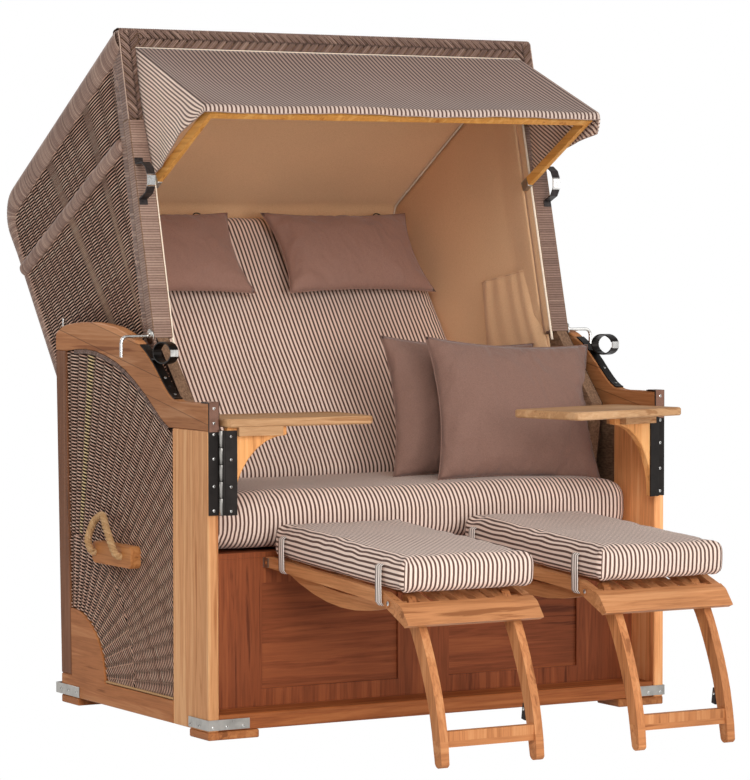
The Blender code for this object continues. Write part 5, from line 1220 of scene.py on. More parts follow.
def swell(mesh_points, quads, pressure, frames, cap, pins=None, shrink=0.0, stiff=15.0, bend=0.6):
    """Blows a closed cloth up with Blender's cloth and returns the moved points; movement is capped."""
    scene = bpy.context.scene
    mesh = bpy.data.meshes.new("swell")
    mesh.from_pydata([tuple(p) for p in mesh_points.tolist()], [], [tuple(q) for q in quads.tolist()])
    made = bpy.data.objects.new("swell", mesh)
    scene.collection.objects.link(made)
    cloth = made.modifiers.new("cloth", "CLOTH")
    settings = cloth.settings
    settings.quality = 5
    settings.mass = 0.25
    settings.tension_stiffness = stiff
    settings.compression_stiffness = stiff
    settings.shear_stiffness = stiff * 0.5
    settings.bending_stiffness = bend
    settings.use_pressure = True
    settings.uniform_pressure_force = pressure
    settings.shrink_min = shrink
    settings.effector_weights.gravity = 0
    settings.air_damping = 4.0
    cloth.collision_settings.use_collision = False
    cloth.collision_settings.use_self_collision = False
    if pins is not None:
        group = made.vertex_groups.new(name="pins")
        for i in np.flatnonzero(pins):
            group.add([int(i)], 1.0, "REPLACE")
        settings.vertex_group_mass = "pins"
    cloth.point_cache.frame_end = frames
    for number in range(1, frames + 1):
        scene.frame_set(number)
    graph = bpy.context.evaluated_depsgraph_get()
    result = made.evaluated_get(graph).to_mesh()
    moved = np.empty(len(result.vertices) * 3, dtype=np.float32)
    result.vertices.foreach_get("co", moved)
    moved = moved.reshape(-1, 3).astype(float)
    made.evaluated_get(graph).to_mesh_clear()
    bpy.data.objects.remove(made)
    bpy.data.meshes.remove(mesh)
    scene.frame_set(1)
    shift = moved - mesh_points
    length = np.linalg.norm(shift, axis=1)
    shift *= np.minimum(1.0, cap / np.maximum(length, 1e-9))[:, None]
    return mesh_points + shift


def placed(points, place, ways):
    """Local points (across, along, out) to the world, by a place and three unit ways."""
    return np.asarray(place, float) + points @ np.asarray(ways, float)


def set_sides(made, sides, materials):
    """Gives faces on each side of a box cushion their own material."""
    made.data.materials.clear()
    for material in materials:
        made.data.materials.append(material)
    table = {}
    for index, material in enumerate(materials):
        table.setdefault(material.name, index)
    made.data.polygons.foreach_set("material_index", np.asarray(sides, dtype=np.int32))
    made.data.update()


def box_cushion(name, stands_for, body, size, radius, crown, place, ways, step, side_slots, materials,
                bulge=0.004, puckers=0.0012, cap=0.008, pressure=3.0, slot="stripe", seed=1,
                lower_crown=0.0):
    """A foam cushion in a sewn cover: round edges, a crowned top, sides that bulge, soft puckers."""
    width, length, height = size
    inner_height = height - crown - lower_crown
    inner_size = (width - 2 * bulge, length - 2 * bulge, inner_height)
    points, quads, sides = box_shell(inner_size, radius, step)
    half = np.array(inner_size) / 2
    reach = np.array([radius, radius, min(radius, inner_height / 2 - 0.002)])
    core = np.clip(points, -(half - reach), half - reach)
    out = points - core
    scaled = out / reach
    norm = np.linalg.norm(scaled, axis=1)
    scaled = np.where(norm[:, None] > 0, scaled / np.maximum(norm, 1e-9)[:, None], scaled)
    far = np.max(np.abs(out / reach), axis=1)
    spots = core + scaled * reach * np.minimum(far, 1.0)[:, None]
    u, v, w = (spots / half).T
    dome = (1 - np.abs(u) ** 4) * (1 - np.abs(v) ** 4)
    rise = np.clip(w, 0, 1)
    spots[:, 2] += crown * dome * rise - lower_crown * dome * np.clip(-w, 0, 1)
    girth = 1 - w ** 2
    pull = 1 - 0.55 * np.abs(v) ** 6
    spots[:, 0] += bulge * girth * np.sign(u) * np.abs(u) ** 8 * pull
    spots[:, 1] += bulge * girth * np.sign(v) * np.abs(v) ** 8 * (1 - 0.55 * np.abs(u) ** 6)
    if pressure:
        spots = swell(spots, quads, pressure, 14, cap)
        low = -inner_height / 2 - lower_crown
        spots[:, 2] = np.maximum(spots[:, 2], low - 0.001)
        top = inner_height / 2 + crown
        spots[:, 2] = np.where(spots[:, 2] > top, top + (spots[:, 2] - top) * 0.2, spots[:, 2])
        for k in (0, 1):
            limit = size[k] / 2
            spots[:, k] = np.clip(spots[:, k], -limit - 0.002, limit + 0.002)
    edge = np.maximum(np.abs(u), np.abs(v)) ** 6
    wave = ripple(spots * (1, 1, 0.3), 16.0, seed)
    soft = ripple(spots * (1, 1, 0.3), 3.0, seed + 5)
    spots[:, 2] += (wave * puckers * edge + soft * puckers * 1.2) * np.clip(w + 0.2, 0, 1)
    cloth = points.copy()
    made = make_piece(name, placed(spots, place, ways), quads, materials[0], body, True,
                      {"cloth": cloth})
    set_sides(made, np.array(side_slots)[sides], materials)
    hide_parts(stands_for)
    seams = Build()
    for a in (-1, 1):
        for b in (-1, 1):
            corner = np.flatnonzero((points[:, 0] * a > half[0] - 1e-6) & (points[:, 1] * b > half[1] - 1e-6))
            corner = corner[np.argsort(points[corner, 2])]
            seams.round_tube(placed(spots[corner], place, ways), 0.9 * MM, (0.5, 0.0), 5)
    seams.piece(name + "_seams", SEAM, body, slot)
    return made, spots


def pillow_shell(width, height, thick, step):
    """Two sheets sewn round their edge, a little apart, as a start for a pillow."""
    nx, ny = int(width / step) | 1, int(height / step) | 1
    xs, ys = np.linspace(-width / 2, width / 2, nx), np.linspace(-height / 2, height / 2, ny)
    gx, gy = np.meshgrid(xs, ys, indexing="ij")
    u, v = gx / (width / 2), gy / (height / 2)
    lift = thick / 2 * (1 - u ** 4) ** 0.6 * (1 - v ** 4) ** 0.6
    top = np.stack([gx, gy, lift], axis=-1).reshape(-1, 3)
    ids = np.arange(nx * ny).reshape(nx, ny)
    rim_mask = np.zeros((nx, ny), bool)
    rim_mask[[0, -1], :] = True
    rim_mask[:, [0, -1]] = True
    low_ids = ids.copy()
    free = np.flatnonzero(~rim_mask.ravel())
    low_ids.ravel()[free] = nx * ny + np.arange(len(free))
    bottom = top[free] * (1, 1, -1)
    points = np.concatenate([top, bottom])
    upper = np.stack([ids[:-1, :-1], ids[1:, :-1], ids[1:, 1:], ids[:-1, 1:]], axis=-1).reshape(-1, 4)
    lower = np.stack([low_ids[:-1, :-1], low_ids[:-1, 1:], low_ids[1:, 1:], low_ids[1:, :-1]], axis=-1)
    loop = np.concatenate([ids[:-1, 0], ids[-1, :-1], ids[:0:-1, -1], ids[0, :0:-1]])
    return points, np.concatenate([upper, lower.reshape(-1, 4)]), loop


def pillow(name, stands_for, body, size, place, ways, step, seed, flat_back=1.0, draw_in=0.10,
           pressure=12.0, frames=26, cloth_material=None):
    """A knife-edge pillow: blown up as cloth, its sides drawn in between pointed corners."""
    width, height, thick = size
    points, quads, loop = pillow_shell(width, height, thick * 0.55, step)
    flat = points.copy()
    u, v = points[:, 0] / (width / 2), points[:, 1] / (height / 2)
    body_shape = (np.clip(1 - np.abs(u) ** 2.4, 0, 1) * np.clip(1 - np.abs(v) ** 2.4, 0, 1)) ** 0.5
    shaped = points.copy()
    shaped[:, 2] = np.sign(points[:, 2]) * thick / 2 * body_shape
    shaped[:, 0] *= 1 - draw_in * (1 - v ** 2) * np.abs(u) ** 1.5
    shaped[:, 1] *= 1 - draw_in * 0.9 * (1 - u ** 2) * np.abs(v) ** 1.5
    spots = swell(points, quads, pressure, frames, thick, None, 0.0, 12.0, 0.25)
    blown = spots[:, 2] - (spots[:, 2].max() + spots[:, 2].min()) / 2
    spots = shaped.copy()
    spots[:, 2] = 0.45 * shaped[:, 2] + 0.55 * blown * thick / max(np.ptp(blown), 1e-6)
    u, v = flat[:, 0] / (width / 2), flat[:, 1] / (height / 2)
    near = np.maximum(np.abs(u), np.abs(v))
    along = np.where(np.abs(u) > np.abs(v), flat[:, 1], flat[:, 0])
    rng = np.random.default_rng(seed)
    gathers = sum(np.sin(along * rate + rng.uniform(0, 6.3)) for rate in (120.0, 190.0, 260.0)) / 3
    creases = ripple(spots * (1, 1, 0.2), 11.0, seed) * np.clip(near - 0.35, 0, 1) * (1 - near ** 10)
    creases = creases * 0.0105 + gathers * 0.0042 * np.clip((near - 0.6) * 3, 0, 1) * (1 - near ** 12)
    spots[:, 2] += (creases + ripple(spots * (1, 1, 0.2), 3.0,
                                     seed + 2) * 0.005 * (1 - near ** 4)) * np.sign(spots[:, 2])
    spots[:, 2] = np.where(spots[:, 2] < 0, spots[:, 2] * flat_back, spots[:, 2])
    world = placed(spots, place, ways)
    made = make_piece(name, world, quads, cloth_material or TAUPE, body, True, {"cloth": flat})
    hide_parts(stands_for)
    seam = Build()
    path = np.concatenate([world[loop], world[loop[:1]]])
    seam.round_tube(path, 1.3 * MM, (0.5, 0.0), 6)
    seam.piece(name + "_seam", cloth_material or TAUPE, body, "taupe")
    return made


# Seat cushion: its front stripes run down, its top's stripes run front to back
low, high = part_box("seat_cushion")
seat_size = np.array(high) - np.array(low)
seat_place = (np.array(low) + np.array(high)) / 2
box_cushion("seat_pad", "seat_cushion", "base", seat_size, 0.034, 0.016, seat_place, np.eye(3), 13 * MM,
            (1, 1, 0, 0, 0, 0), (STRIPE_U, STRIPE_W), 0.005, 0.0022, 0.008, 2.5, seed=3)

# Back cushion: on the inner face of the hood's back, stripes up the slope
BACK_ORIGIN = three(0.0, BACK_FOOT + BACK_INWARD * 0.0303)
BACK_FRAME = np.array([(1.0, 0.0, 0.0), (0.0, -BACK_WAY[0], -BACK_WAY[1]),
                       (0.0, BACK_INWARD[0], BACK_INWARD[1])])
BACK_LOW, BACK_HIGH, BACK_THICK, BACK_WIDE = -0.030, 0.780, 0.056, 1.041
place = BACK_ORIGIN + np.array([0.0, (BACK_LOW + BACK_HIGH) / 2, BACK_THICK / 2 + 0.001]) @ BACK_FRAME
box_cushion("back_pad", "back_cushion", "hood", (BACK_WIDE, BACK_HIGH - BACK_LOW, BACK_THICK), 0.022, 0.008,
            place, BACK_FRAME, 14 * MM, (0, 0, 0, 0, 0, 0), (STRIPE_U, STRIPE_W), 0.003, 0.0018, 0.006, 2.0,
            seed=11)

HEAD_SIZE = (0.42, 0.25, 0.094)
for side, sign, x in (("left", -1.0, -0.234), ("right", 1.0, 0.281)):
    spot = np.array([x, 0.618, 0.0585 + HEAD_SIZE[2] / 2 - 0.006])
    pillow(f"head_cushion_{side}", f"head_pillow_{side}", "hood", HEAD_SIZE, BACK_ORIGIN + spot @ BACK_FRAME,
           BACK_FRAME, 9 * MM, 21 if sign < 0 else 34, 0.86, cloth_material=HEAD)

LEAN, ROLL = math.radians(16), math.radians(3.5)
upright = np.array([(1.0, 0.0, 0.0), (0.0, math.sin(LEAN), math.cos(LEAN)),
                    (0.0, -math.cos(LEAN), math.sin(LEAN))])
roll = np.array([(math.cos(ROLL), -math.sin(ROLL), 0.0), (math.sin(ROLL), math.cos(ROLL), 0.0),
                 (0.0, 0.0, 1.0)])
for name, place, wide, seed in (("front", (0.337, 0.238 + SHIFT, 0.684), 0.452, 5),
                                ("rear", (0.284, 0.376 + SHIFT, 0.684), 0.425, 9)):
    pillow(f"scatter_cushion_{name}", f"scatter_pillow_{name}", "base", (wide, 0.344, 0.124), place,
           roll @ upright, 9 * MM, seed)

# Footrest cushions: top and front stripes run along and down, side stripes run along
SLOPE = math.radians(3.4)
for side, sign in SIDES:
    low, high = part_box(f"footrest_cushion_{side}")
    ways = np.array([(1.0, 0.0, 0.0), (0.0, -math.cos(SLOPE), -math.sin(SLOPE)),
                     (0.0, -math.sin(SLOPE), math.cos(SLOPE))])
    place = (np.array(low) + np.array(high)) / 2
    box_cushion(f"footrest_pad_{side}", f"footrest_cushion_{side}", f"footrest_{side}", (0.338, 0.580, 0.074),
                0.016, 0.007, place, ways, 11 * MM, (1, 1, 0, 0, 0, 0), (STRIPE_U, STRIPE_W), 0.004, 0.0022,
                0.006,
                3.0, seed=40 + int(sign))


# Sheets of cloth
def sheet_shell(grids, thick):
    """A thin closed cloth from grids of points that share edges; returns points, quads and places."""
    points, quads, cloth = [], [], []
    index = {}

    def number(spot, place):
        key = tuple(np.round(spot, 6))
        if key not in index:
            index[key] = len(points)
            points.append(spot)
            cloth.append(place)
        return index[key]

    for grid, places in grids:
        rows, columns = grid.shape[:2]
        ids = np.array([[number(grid[i, j], places[i, j]) for j in range(columns)] for i in range(rows)])
        quad = np.stack([ids[:-1, :-1], ids[1:, :-1], ids[1:, 1:], ids[:-1, 1:]], axis=-1).reshape(-1, 4)
        quads.append(quad)
    points, quads, cloth = np.array(points), np.concatenate(quads), np.array(cloth)
    normals = np.zeros_like(points)
    face = np.cross(points[quads[:, 2]] - points[quads[:, 0]], points[quads[:, 3]] - points[quads[:, 1]])
    for k in range(4):
        np.add.at(normals, quads[:, k], face)
    normals /= np.maximum(np.linalg.norm(normals, axis=1)[:, None], 1e-12)
    count = len(points)
    directed = dict.fromkeys((a, b) for quad in quads.tolist() for a, b in zip(quad, quad[1:] + quad[:1]))
    border = [(a, b) for a, b in directed if (b, a) not in directed]
    rim_quads = np.array([(b, a, a + count, b + count) for a, b in border])
    every = np.concatenate([quads, quads[:, ::-1] + count, rim_quads])
    return np.concatenate([points + normals * thick / 2, points - normals * thick / 2]), every, \
        np.concatenate([cloth, cloth])


def sheet_piece(name, grids, thick, materials, body):
    """A sheet with one material for each of its grids, or one for them all."""
    points, quads, cloth = sheet_shell(grids, thick)
    many = isinstance(materials, (list, tuple))
    made = make_piece(name, points, quads, materials[0] if many else materials, body, True,
                      {"cloth": cloth})
    if many:
        which = np.concatenate([np.full((g.shape[0] - 1) * (g.shape[1] - 1), k)
                                for k, (g, _) in enumerate(grids)])
        rest = len(quads) - 2 * len(which)
        set_sides(made, np.concatenate([which, which, np.zeros(rest, dtype=int)]), materials)
    return made


def area_of(grids):
    total = 0.0
    for grid, _ in grids:
        a = grid[1:, 1:] - grid[:-1, :-1]
        b = grid[:-1, 1:] - grid[1:, :-1]
        total += np.linalg.norm(np.cross(a, b), axis=-1).sum() / 2
    return float(total)


# Awning: top, front edge rolled over the bar, and a flap on each side down to the arms
AWNING_PIVOT = shifted(0.4437, 1.2210)
AWNING_LENGTH, AWNING_RISE = 0.305, math.radians(29.6)
AWNING_WAY = np.array([-math.cos(AWNING_RISE), math.sin(AWNING_RISE)])
AWNING_TIP = AWNING_PIVOT + AWNING_WAY * AWNING_LENGTH
CLOTH_HALF = 0.522
AWNING_REAR = front_point(RIM_HEIGHT + 0.001, -0.003)
AWNING_FRONT = AWNING_TIP + np.array([-0.018, 0.0155])
VALANCE = 0.016


def awning():
    across = np.linspace(-CLOTH_HALF, CLOTH_HALF, 97)
    down = np.linspace(0, 1, 31)
    gx, gt = np.meshgrid(across, down, indexing="ij")
    share = gx / CLOTH_HALF
    line = AWNING_REAR + gt[..., None] * (AWNING_FRONT - AWNING_REAR)
    middle = 1 - share ** 6
    sag = 0.014 * (4 * gt * (1 - gt)) * middle
    spots = np.stack([gx * 0.8, gt * 0.22, gx * 0], axis=-1).reshape(-1, 3)
    sag = sag + 0.0022 * ripple(spots, 3.2, 61).reshape(gx.shape) * np.sin(math.pi * gt) * middle
    droop = 0.002 * np.sin(share * 7.3 + 0.6) * gt ** 3 * middle
    top = np.stack([gx, line[..., 0] + sag * 0.4, line[..., 1] - sag - droop], axis=-1)
    top_length = float(np.linalg.norm(AWNING_FRONT - AWNING_REAR))
    top_place = np.stack([gx, gt * top_length, np.zeros_like(gx)], axis=-1)

    fall = np.linspace(0, 1, 9)
    gx2, gf = np.meshgrid(across, fall, indexing="ij")
    front = top[:, -1, :]
    roll = np.sin(np.clip(gf, 0, 0.5) * math.pi)
    wave = 0.0012 * np.sin(gx2 * 46 + 1.0) * gf
    forward = 0.005 * roll + wave
    valance = np.stack([gx2, front[:, None, 1] - forward - 0.001 * gf, front[:, None, 2] - VALANCE * gf
                        + 0.0006 * np.sin(gx2 * 60) * gf], axis=-1)
    valance[:, 0] = front
    valance_place = np.stack([gx2, top_length + VALANCE * gf, np.zeros_like(gx2)], axis=-1)
    grids = [(top, top_place), (valance, valance_place)]

    # hem of a flap: points (depth, height) from the rim to the front corner
    hem_left = np.array([shifted(0.4290, 1.2390), shifted(0.3850, 1.2560), shifted(0.3400, 1.2900),
                         shifted(0.2950, 1.3235), shifted(0.2400, 1.3480),
                         (AWNING_FRONT[0] + 0.012, AWNING_FRONT[1] - VALANCE * 0.9),
                         (AWNING_FRONT[0] - 0.001, AWNING_FRONT[1] - VALANCE)])
    hem_right = np.array([shifted(0.4290, 1.2390), shifted(0.3850, 1.2540), shifted(0.3400, 1.2800),
                          shifted(0.2950, 1.3060), shifted(0.2400, 1.3220),
                          (AWNING_FRONT[0] - 0.004, AWNING_FRONT[1] - 0.050),
                          (AWNING_FRONT[0] - 0.010, AWNING_FRONT[1] - VALANCE)])
    for end, sign, hem in ((0, -1.0, hem_left), (-1, 1.0, hem_right)):
        hem_run = np.concatenate([[0], np.cumsum(np.linalg.norm(np.diff(hem, axis=0), axis=1))])
        edge = np.concatenate([top[end], valance[end, 1:]])
        run = np.linspace(0, 1, len(edge))
        low = np.stack([np.interp(run * hem_run[-1], hem_run, hem[:, k]) for k in range(2)], axis=-1)
        drop = np.linspace(0, 1, 17)
        grid = np.empty((len(drop), len(edge), 3))
        places = np.empty_like(grid)
        for i, t in enumerate(drop):
            spot = edge[:, 1:] * (1 - t) + low * t
            tuck = sign * (0.0035 * np.sin(t * math.pi * 1.5 + run * 6) + 0.002 * np.sin(run * 19 + t * 3)) \
                * min(1.0, t * 3) * (1 - run ** 6)
            inset = -sign * 0.006 * t ** 2
            grid[i] = np.stack([np.full(len(edge), sign * CLOTH_HALF) + tuck * 0.6 + inset, spot[:, 0],
                                spot[:, 1]], axis=-1)
            fall_length = np.linalg.norm(edge[:, 1:] - low, axis=1)
            places[i] = np.stack([sign * (CLOTH_HALF + fall_length * t), run * top_length,
                                  np.zeros(len(edge))], axis=-1)
        grid[0] = edge
        if sign > 0:
            grid, places = grid[::-1], places[::-1]
        grids.append((grid, places))
    made = sheet_piece("awning_sheet", grids, 1.4 * MM,
                       [AWNING_TOP_SHADED, AWNING_FALL_SHADED, AWNING_SIDE_LIT, AWNING_SIDE_LIT], None)
    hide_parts("awning_cloth")
    hems = [grids[2][0][-1], grids[3][0][0]]
    return made, area_of(grids), top, valance, hems


awning_sheet, awning_area, awning_top, awning_valance, flap_hems = awning()
hem_build = Build()
for line in flap_hems:
    hem_build.round_tube(line, 1.1 * MM, (0.5, 0.0), 6)
hem_build.round_tube(awning_valance[:, -1, :], 1.1 * MM, (0.5, 0.0), 6)
awning_hems = hem_build.piece("awning_hems", HEM, None, "canvas")
edge_build = Build()
rear = awning_top[:, 0, :] + np.array([0.0, -0.002, -0.0015])
edge_build.round_tube(rear, 2.2 * MM, (0.5, 0.0), 6)
awning_edge = edge_build.piece("awning_rear_piping", PIPING, "hood", "canvas")
for piece in (awning_sheet, awning_hems):
    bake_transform(piece)


# Lining: its gap to the walls, its reach in front of the rim's bars, and how far it eases back to the wall
LINING_GAP = 1.6 * MM
RIM_REACH = 2.8 * MM
SHELL_WALL = 0.030
EASE = 0.13


def eased(share):
    """From 0 to 1 with a soft start and end."""
    return share * share * (3 - 2 * share)


def lining_cloth(name, grids, thick):
    """A stretched sheet of lining on one node."""
    made = sheet_piece(name, grids, thick, LINING, "hood")


def lining_side(side, sign):
    """The cloth on the inner face of a hood side."""
    x = sign * (SHELL_FACE - LINING_GAP)
    a = front_point(RIM_HEIGHT + 0.004, RIM_DEPTH + 0.0032)
    rows = np.linspace(0, 1, 61)
    columns = np.linspace(0, 1, 45)
    wall = 0.0325
    grid = np.empty((len(rows), len(columns), 3))
    for i, share in enumerate(rows):
        front = a + DOWN * (share * 0.80)
        back_top = REAR_CORNER + ROOF_INWARD * wall + BACK_INWARD * wall * 0.3
        back_low = BACK_FOOT + BACK_INWARD * 0.002 + np.array([0.0, 0.09])
        rear = back_top + (back_low - back_top) * share
        for j, c in enumerate(columns):
            spot = front + (rear - front) * c
            settle = eased(min(1.0, np.linalg.norm(spot - front) / EASE))
            settle = max(settle, np.clip((share * 0.80 - 0.60) / 0.08, 0, 1))
            grid[i, j] = (x * settle + sign * (RIM_INNER - RIM_REACH) * (1 - settle), spot[0], spot[1])
    flat = grid.reshape(-1, 3)
    soft = ripple(flat * (0, 1, 1), 2.2, 80 + int(sign)).reshape(len(rows), len(columns))
    edge = (np.minimum(1, 8 * np.minimum(columns, 1 - columns))[None, :]
            * np.minimum(1, 8 * np.minimum(rows, 1 - rows))[:, None])
    grid[..., 0] -= sign * (0.0012 + 0.0010 * soft) * edge
    if sign > 0:
        grid = grid[:, ::-1]
    lining_cloth(f"lining_side_{side}", [(grid, grid.copy())], 1.0 * MM)


def lining_shell():
    """The cloth under the roof and on the back, tight on the hood's inside."""
    step = 12 * MM
    points, ways = hood_profile(-(SHELL_WALL + LINING_GAP), step, RIM_DEPTH + 0.026, 0.10)
    across = np.linspace(-SHELL_FACE + 0.003, SHELL_FACE - 0.003, 61)
    run = np.clip(np.arange(len(points)) * step / EASE, 0, 1)
    points = points - ways * ((RIM_HEIGHT + RIM_REACH - SHELL_WALL - LINING_GAP) * (1 - eased(run)))[:, None]
    grid = np.empty((len(across), len(points), 3))
    grid[..., 0] = across[:, None]
    grid[..., 1] = points[None, :, 0]
    grid[..., 2] = points[None, :, 1]
    soft = ripple(grid.reshape(-1, 3), 1.8, 91).reshape(grid.shape[:2])
    edge = np.minimum(1, 7 * (1 - np.abs(across) / SHELL_FACE))[:, None]
    inward = -ways
    grid[..., 1:] += inward[None] * ((0.0008 + 0.0010 * soft) * edge)[..., None]
    lining_cloth("lining_roof_and_back", [(grid, grid.copy())], 1.0 * MM)


for side, sign in SIDES:
    lining_side(side, sign)
lining_shell()


def rim_lining():
    """The lining's edge, turned over the inner faces of the rim's bars up to the piping."""
    inner, drop = RIM_INNER - RIM_REACH, RIM_HEIGHT + RIM_REACH
    backs = (0.0015, 0.012, 0.023, 0.0335)
    grids = []
    lengths = np.linspace(0, 1, 41)
    for sign in (-1.0, 1.0):
        grid = np.empty((len(lengths), len(backs), 3))
        for i, t in enumerate(lengths):
            for j, back in enumerate(backs):
                grid[i, j] = three(sign * inner, front_point(drop + (RIM_LENGTH - 0.004 - drop) * t, back))
        grids.append((grid[::-1] if sign < 0 else grid, grid.copy()))
    grid = np.empty((len(lengths), len(backs), 3))
    for i, t in enumerate(lengths):
        for j, back in enumerate(backs):
            grid[i, j] = three((2 * t - 1) * inner, front_point(drop, back))
    grids.append((grid, grid.copy()))
    lining_cloth("rim_lining", grids, 0.9 * MM)


rim_lining()


def pipings():
    """Light piping round the mouth's inner edge and in the lining's corners."""
    build = Build()
    inner = RIM_INNER - 0.0015
    for sign in (-1.0, 1.0):
        run = np.linspace(0, RIM_LENGTH - RIM_HEIGHT + 0.02, 60)
        line = front_point(RIM_HEIGHT, 0.003) + np.outer(run, DOWN)
        build.round_tube(three_path(sign * inner, line), 3.0 * MM, (0.5, 0.0), 8)
        corner = SHELL_FACE - LINING_GAP - 0.003
        points, _ = hood_profile(-(SHELL_WALL + LINING_GAP + 0.002), 12 * MM, RIM_DEPTH + 0.03, 0.20)
        build.round_tube(three_path(sign * corner, points), 2.2 * MM, (0.5, 0.0), 6)
    top = front_point(RIM_HEIGHT + 0.0015, 0.003)
    build.round_tube(three_path(0, np.repeat([top], 40, axis=0)) * (0, 1, 1)
                     + np.outer(np.linspace(-inner, inner, 40), (1, 0, 0)), 3.0 * MM, (0.5, 0.0), 8)
    build.piece("hood_piping", PIPING, "hood", "canvas")


pipings()


# Rope handles
def rope_handle(side, sign):
    """Three twisted strands along the handle's loop, each with thin fibres wound round it."""
    x_out, x_top = 0.6372, 0.6200
    route = np.array([(0.6150, 0.388, 0.373), (x_out - 0.006, 0.388, 0.373), (x_out, 0.3945, 0.388),
                      (x_top + 0.012, 0.4405, 0.4320), (x_top + 0.002, 0.478, 0.4590),
                      (x_top, 0.4905, 0.4620),
                      (x_top + 0.004, 0.5250, 0.4430), (x_out, 0.5310, 0.4020),
                      (x_out - 0.006, 0.5220, 0.3730), (0.6150, 0.5220, 0.3730)])
    route[:, 1] += SHIFT
    run = np.concatenate([[0], np.cumsum(np.linalg.norm(np.diff(route, axis=0), axis=1))])
    s = np.linspace(0, run[-1], 140)
    path = np.empty((len(s), 3))
    for k in range(3):
        fine = np.interp(s, run, route[:, k])
        kernel = np.hanning(19)
        kernel /= kernel.sum()
        path[:, k] = np.convolve(np.pad(fine, 9, mode="edge"), kernel, mode="valid")
    path[:, 0] *= sign
    length = float(np.linalg.norm(np.diff(path, axis=0), axis=1).sum())
    way = np.gradient(path, axis=0)
    way /= np.linalg.norm(way, axis=1)[:, None]
    side_way = np.cross(way, (0.7 * sign, 0.2, 0.68))
    side_way /= np.linalg.norm(side_way, axis=1)[:, None]
    up = np.cross(side_way, way)
    build = Build()
    turn = s * 2 * math.pi / 0.034
    for k in range(3):
        angle = turn + k * 2 * math.pi / 3
        line = path + 0.0042 * (np.cos(angle)[:, None] * side_way + np.sin(angle)[:, None] * up)
        build.round_tube(line, 4.7 * MM, (0.42 + 0.12 * k, 0.0), 10)
        for m in range(5):
            fray = angle + (m - 2) * 0.42
            fibre = path + (0.0042 * (np.cos(angle)[:, None] * side_way + np.sin(angle)[:, None] * up)
                            + 0.0045 * (np.cos(fray * 1.0 + m)[:, None] * side_way + np.sin(fray * 1.0 + m)[:,
                                None] * up))
            build.round_tube(fibre, 0.55 * MM, (0.25 + 0.12 * m, 0.0), 4)
    made = build.piece(f"rope_strands_{side}", ROPE, "base", "rope")
    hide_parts(f"rope_handle_{side}")
    return made, path, length


def rope_material():
    n = Nodes("rope_fibre", 0.85, specular=0.2)
    tone = n.attribute("tone").outputs["Color"]
    split = n.add("ShaderNodeSeparateColor")
    n.link(tone, split.inputs[0])
    hair = n.noise(n.place, 420.0, 5.0, 0.7)
    value = n.math("ADD", n.math("MULTIPLY", split.outputs[0], 0.5), n.math("MULTIPLY", hair, 0.5))
    colour = n.ramp(value, [(0.25, linear((128, 92, 58))), (0.5, linear((186, 146, 102))),
                            (0.75, linear((222, 188, 146)))])
    n.bump(hair, 0.0008, 0.6)
    return n.finish(colour)


ROPE = rope_material()
for side, sign in SIDES:
    strands, path, length = rope_handle(side, sign)


# Screws, plates, pins and straps
SCREW = metal("screw_steel", (222, 220, 216), 0.28)
# bright steel with a reddish tint: painted reflection of the wood
STEEL_PAINTED_WOOD_REFLECTION = metal("steel_painted_wood_reflection", (150, 112, 96), 0.20)
# black for the real black clip and loops, and painted shade in screw slots and the band's hole
BLACK_AND_PAINTED_SHADE = metal("black_fitting_and_painted_shade", (36, 32, 32), 0.5, 0.3)


def handle_material():
    """Bent strap: bright in the middle, black sleeves on its ends."""
    n = Nodes("handle_steel", 0.22, 1.0)
    middle = n.math("ABSOLUTE", n.math("SUBTRACT", n.axis(2), 1.2235))
    part = n.range(middle, 0.0135, 0.0145)
    scratch = n.noise(n.place, 180.0, 3.0)
    steel = n.ramp(scratch, [(0.3, linear((214, 212, 208))), (0.7, linear((240, 238, 236)))])
    sleeve = n.ramp(scratch, [(0.3, linear((34, 28, 28))), (0.7, linear((58, 50, 48)))])
    n.put(n.math("SUBTRACT", 1.0, n.math("MULTIPLY", part, 0.75)), n.shader.inputs["Metallic"])
    return n.finish(n.blend(part, steel, sleeve), n.range(part, 0.0, 1.0, 0.16, 0.42))


HANDLE_STEEL = handle_material()


def screw(build, place, way, radius=3.3 * MM, height=1.1 * MM):
    """A low domed head."""
    build.disc(place, way, radius, height, sides=14, dome=0.7 * MM, soften=0.25)


def screw_cross(build, place, way, reach=2.0 * MM, height=1.95 * MM):
    """The cross in a screw's head, in black: painted shade in its slot."""
    way = np.asarray(way, float) / np.linalg.norm(way)
    first = np.cross(way, (0.31, 0.52, 0.79))
    first /= np.linalg.norm(first)
    second = np.cross(way, first)
    for a, b in ((first, second), (second, first)):
        build.block((-reach, -0.35 * MM, height - 0.9 * MM), (reach, 0.35 * MM, height),
                    frame=(place, (a, b, way)))


def screws(name, body, spots, radius=3.3 * MM):
    """Heads with crosses at a list of places and ways."""
    heads, crosses = Build(), Build()
    for place, way in spots:
        screw(heads, place, way, radius)
        screw_cross(crosses, place, way)
    sharpen(heads.piece(name, SCREW, body, "steel"), 50)
    crosses.piece(name + "_crosses", BLACK_AND_PAINTED_SHADE, body, "dark_steel")


LEAF_FACE, LEAF_X, LEAF_SCREWS = -0.2737, 0.5868, (0.6671, 0.6142, 0.5544, 0.5015)
TABLE_LEAF_FACE, TABLE_LEAF_X, TABLE_SCREWS = -0.2939, 0.5555, (0.6630, 0.6125, 0.5534, 0.5004)
PIN_X, PIN_Y, PIN_LOW, PIN_HIGH = 0.5710, -0.2789, 0.4915, 0.6755


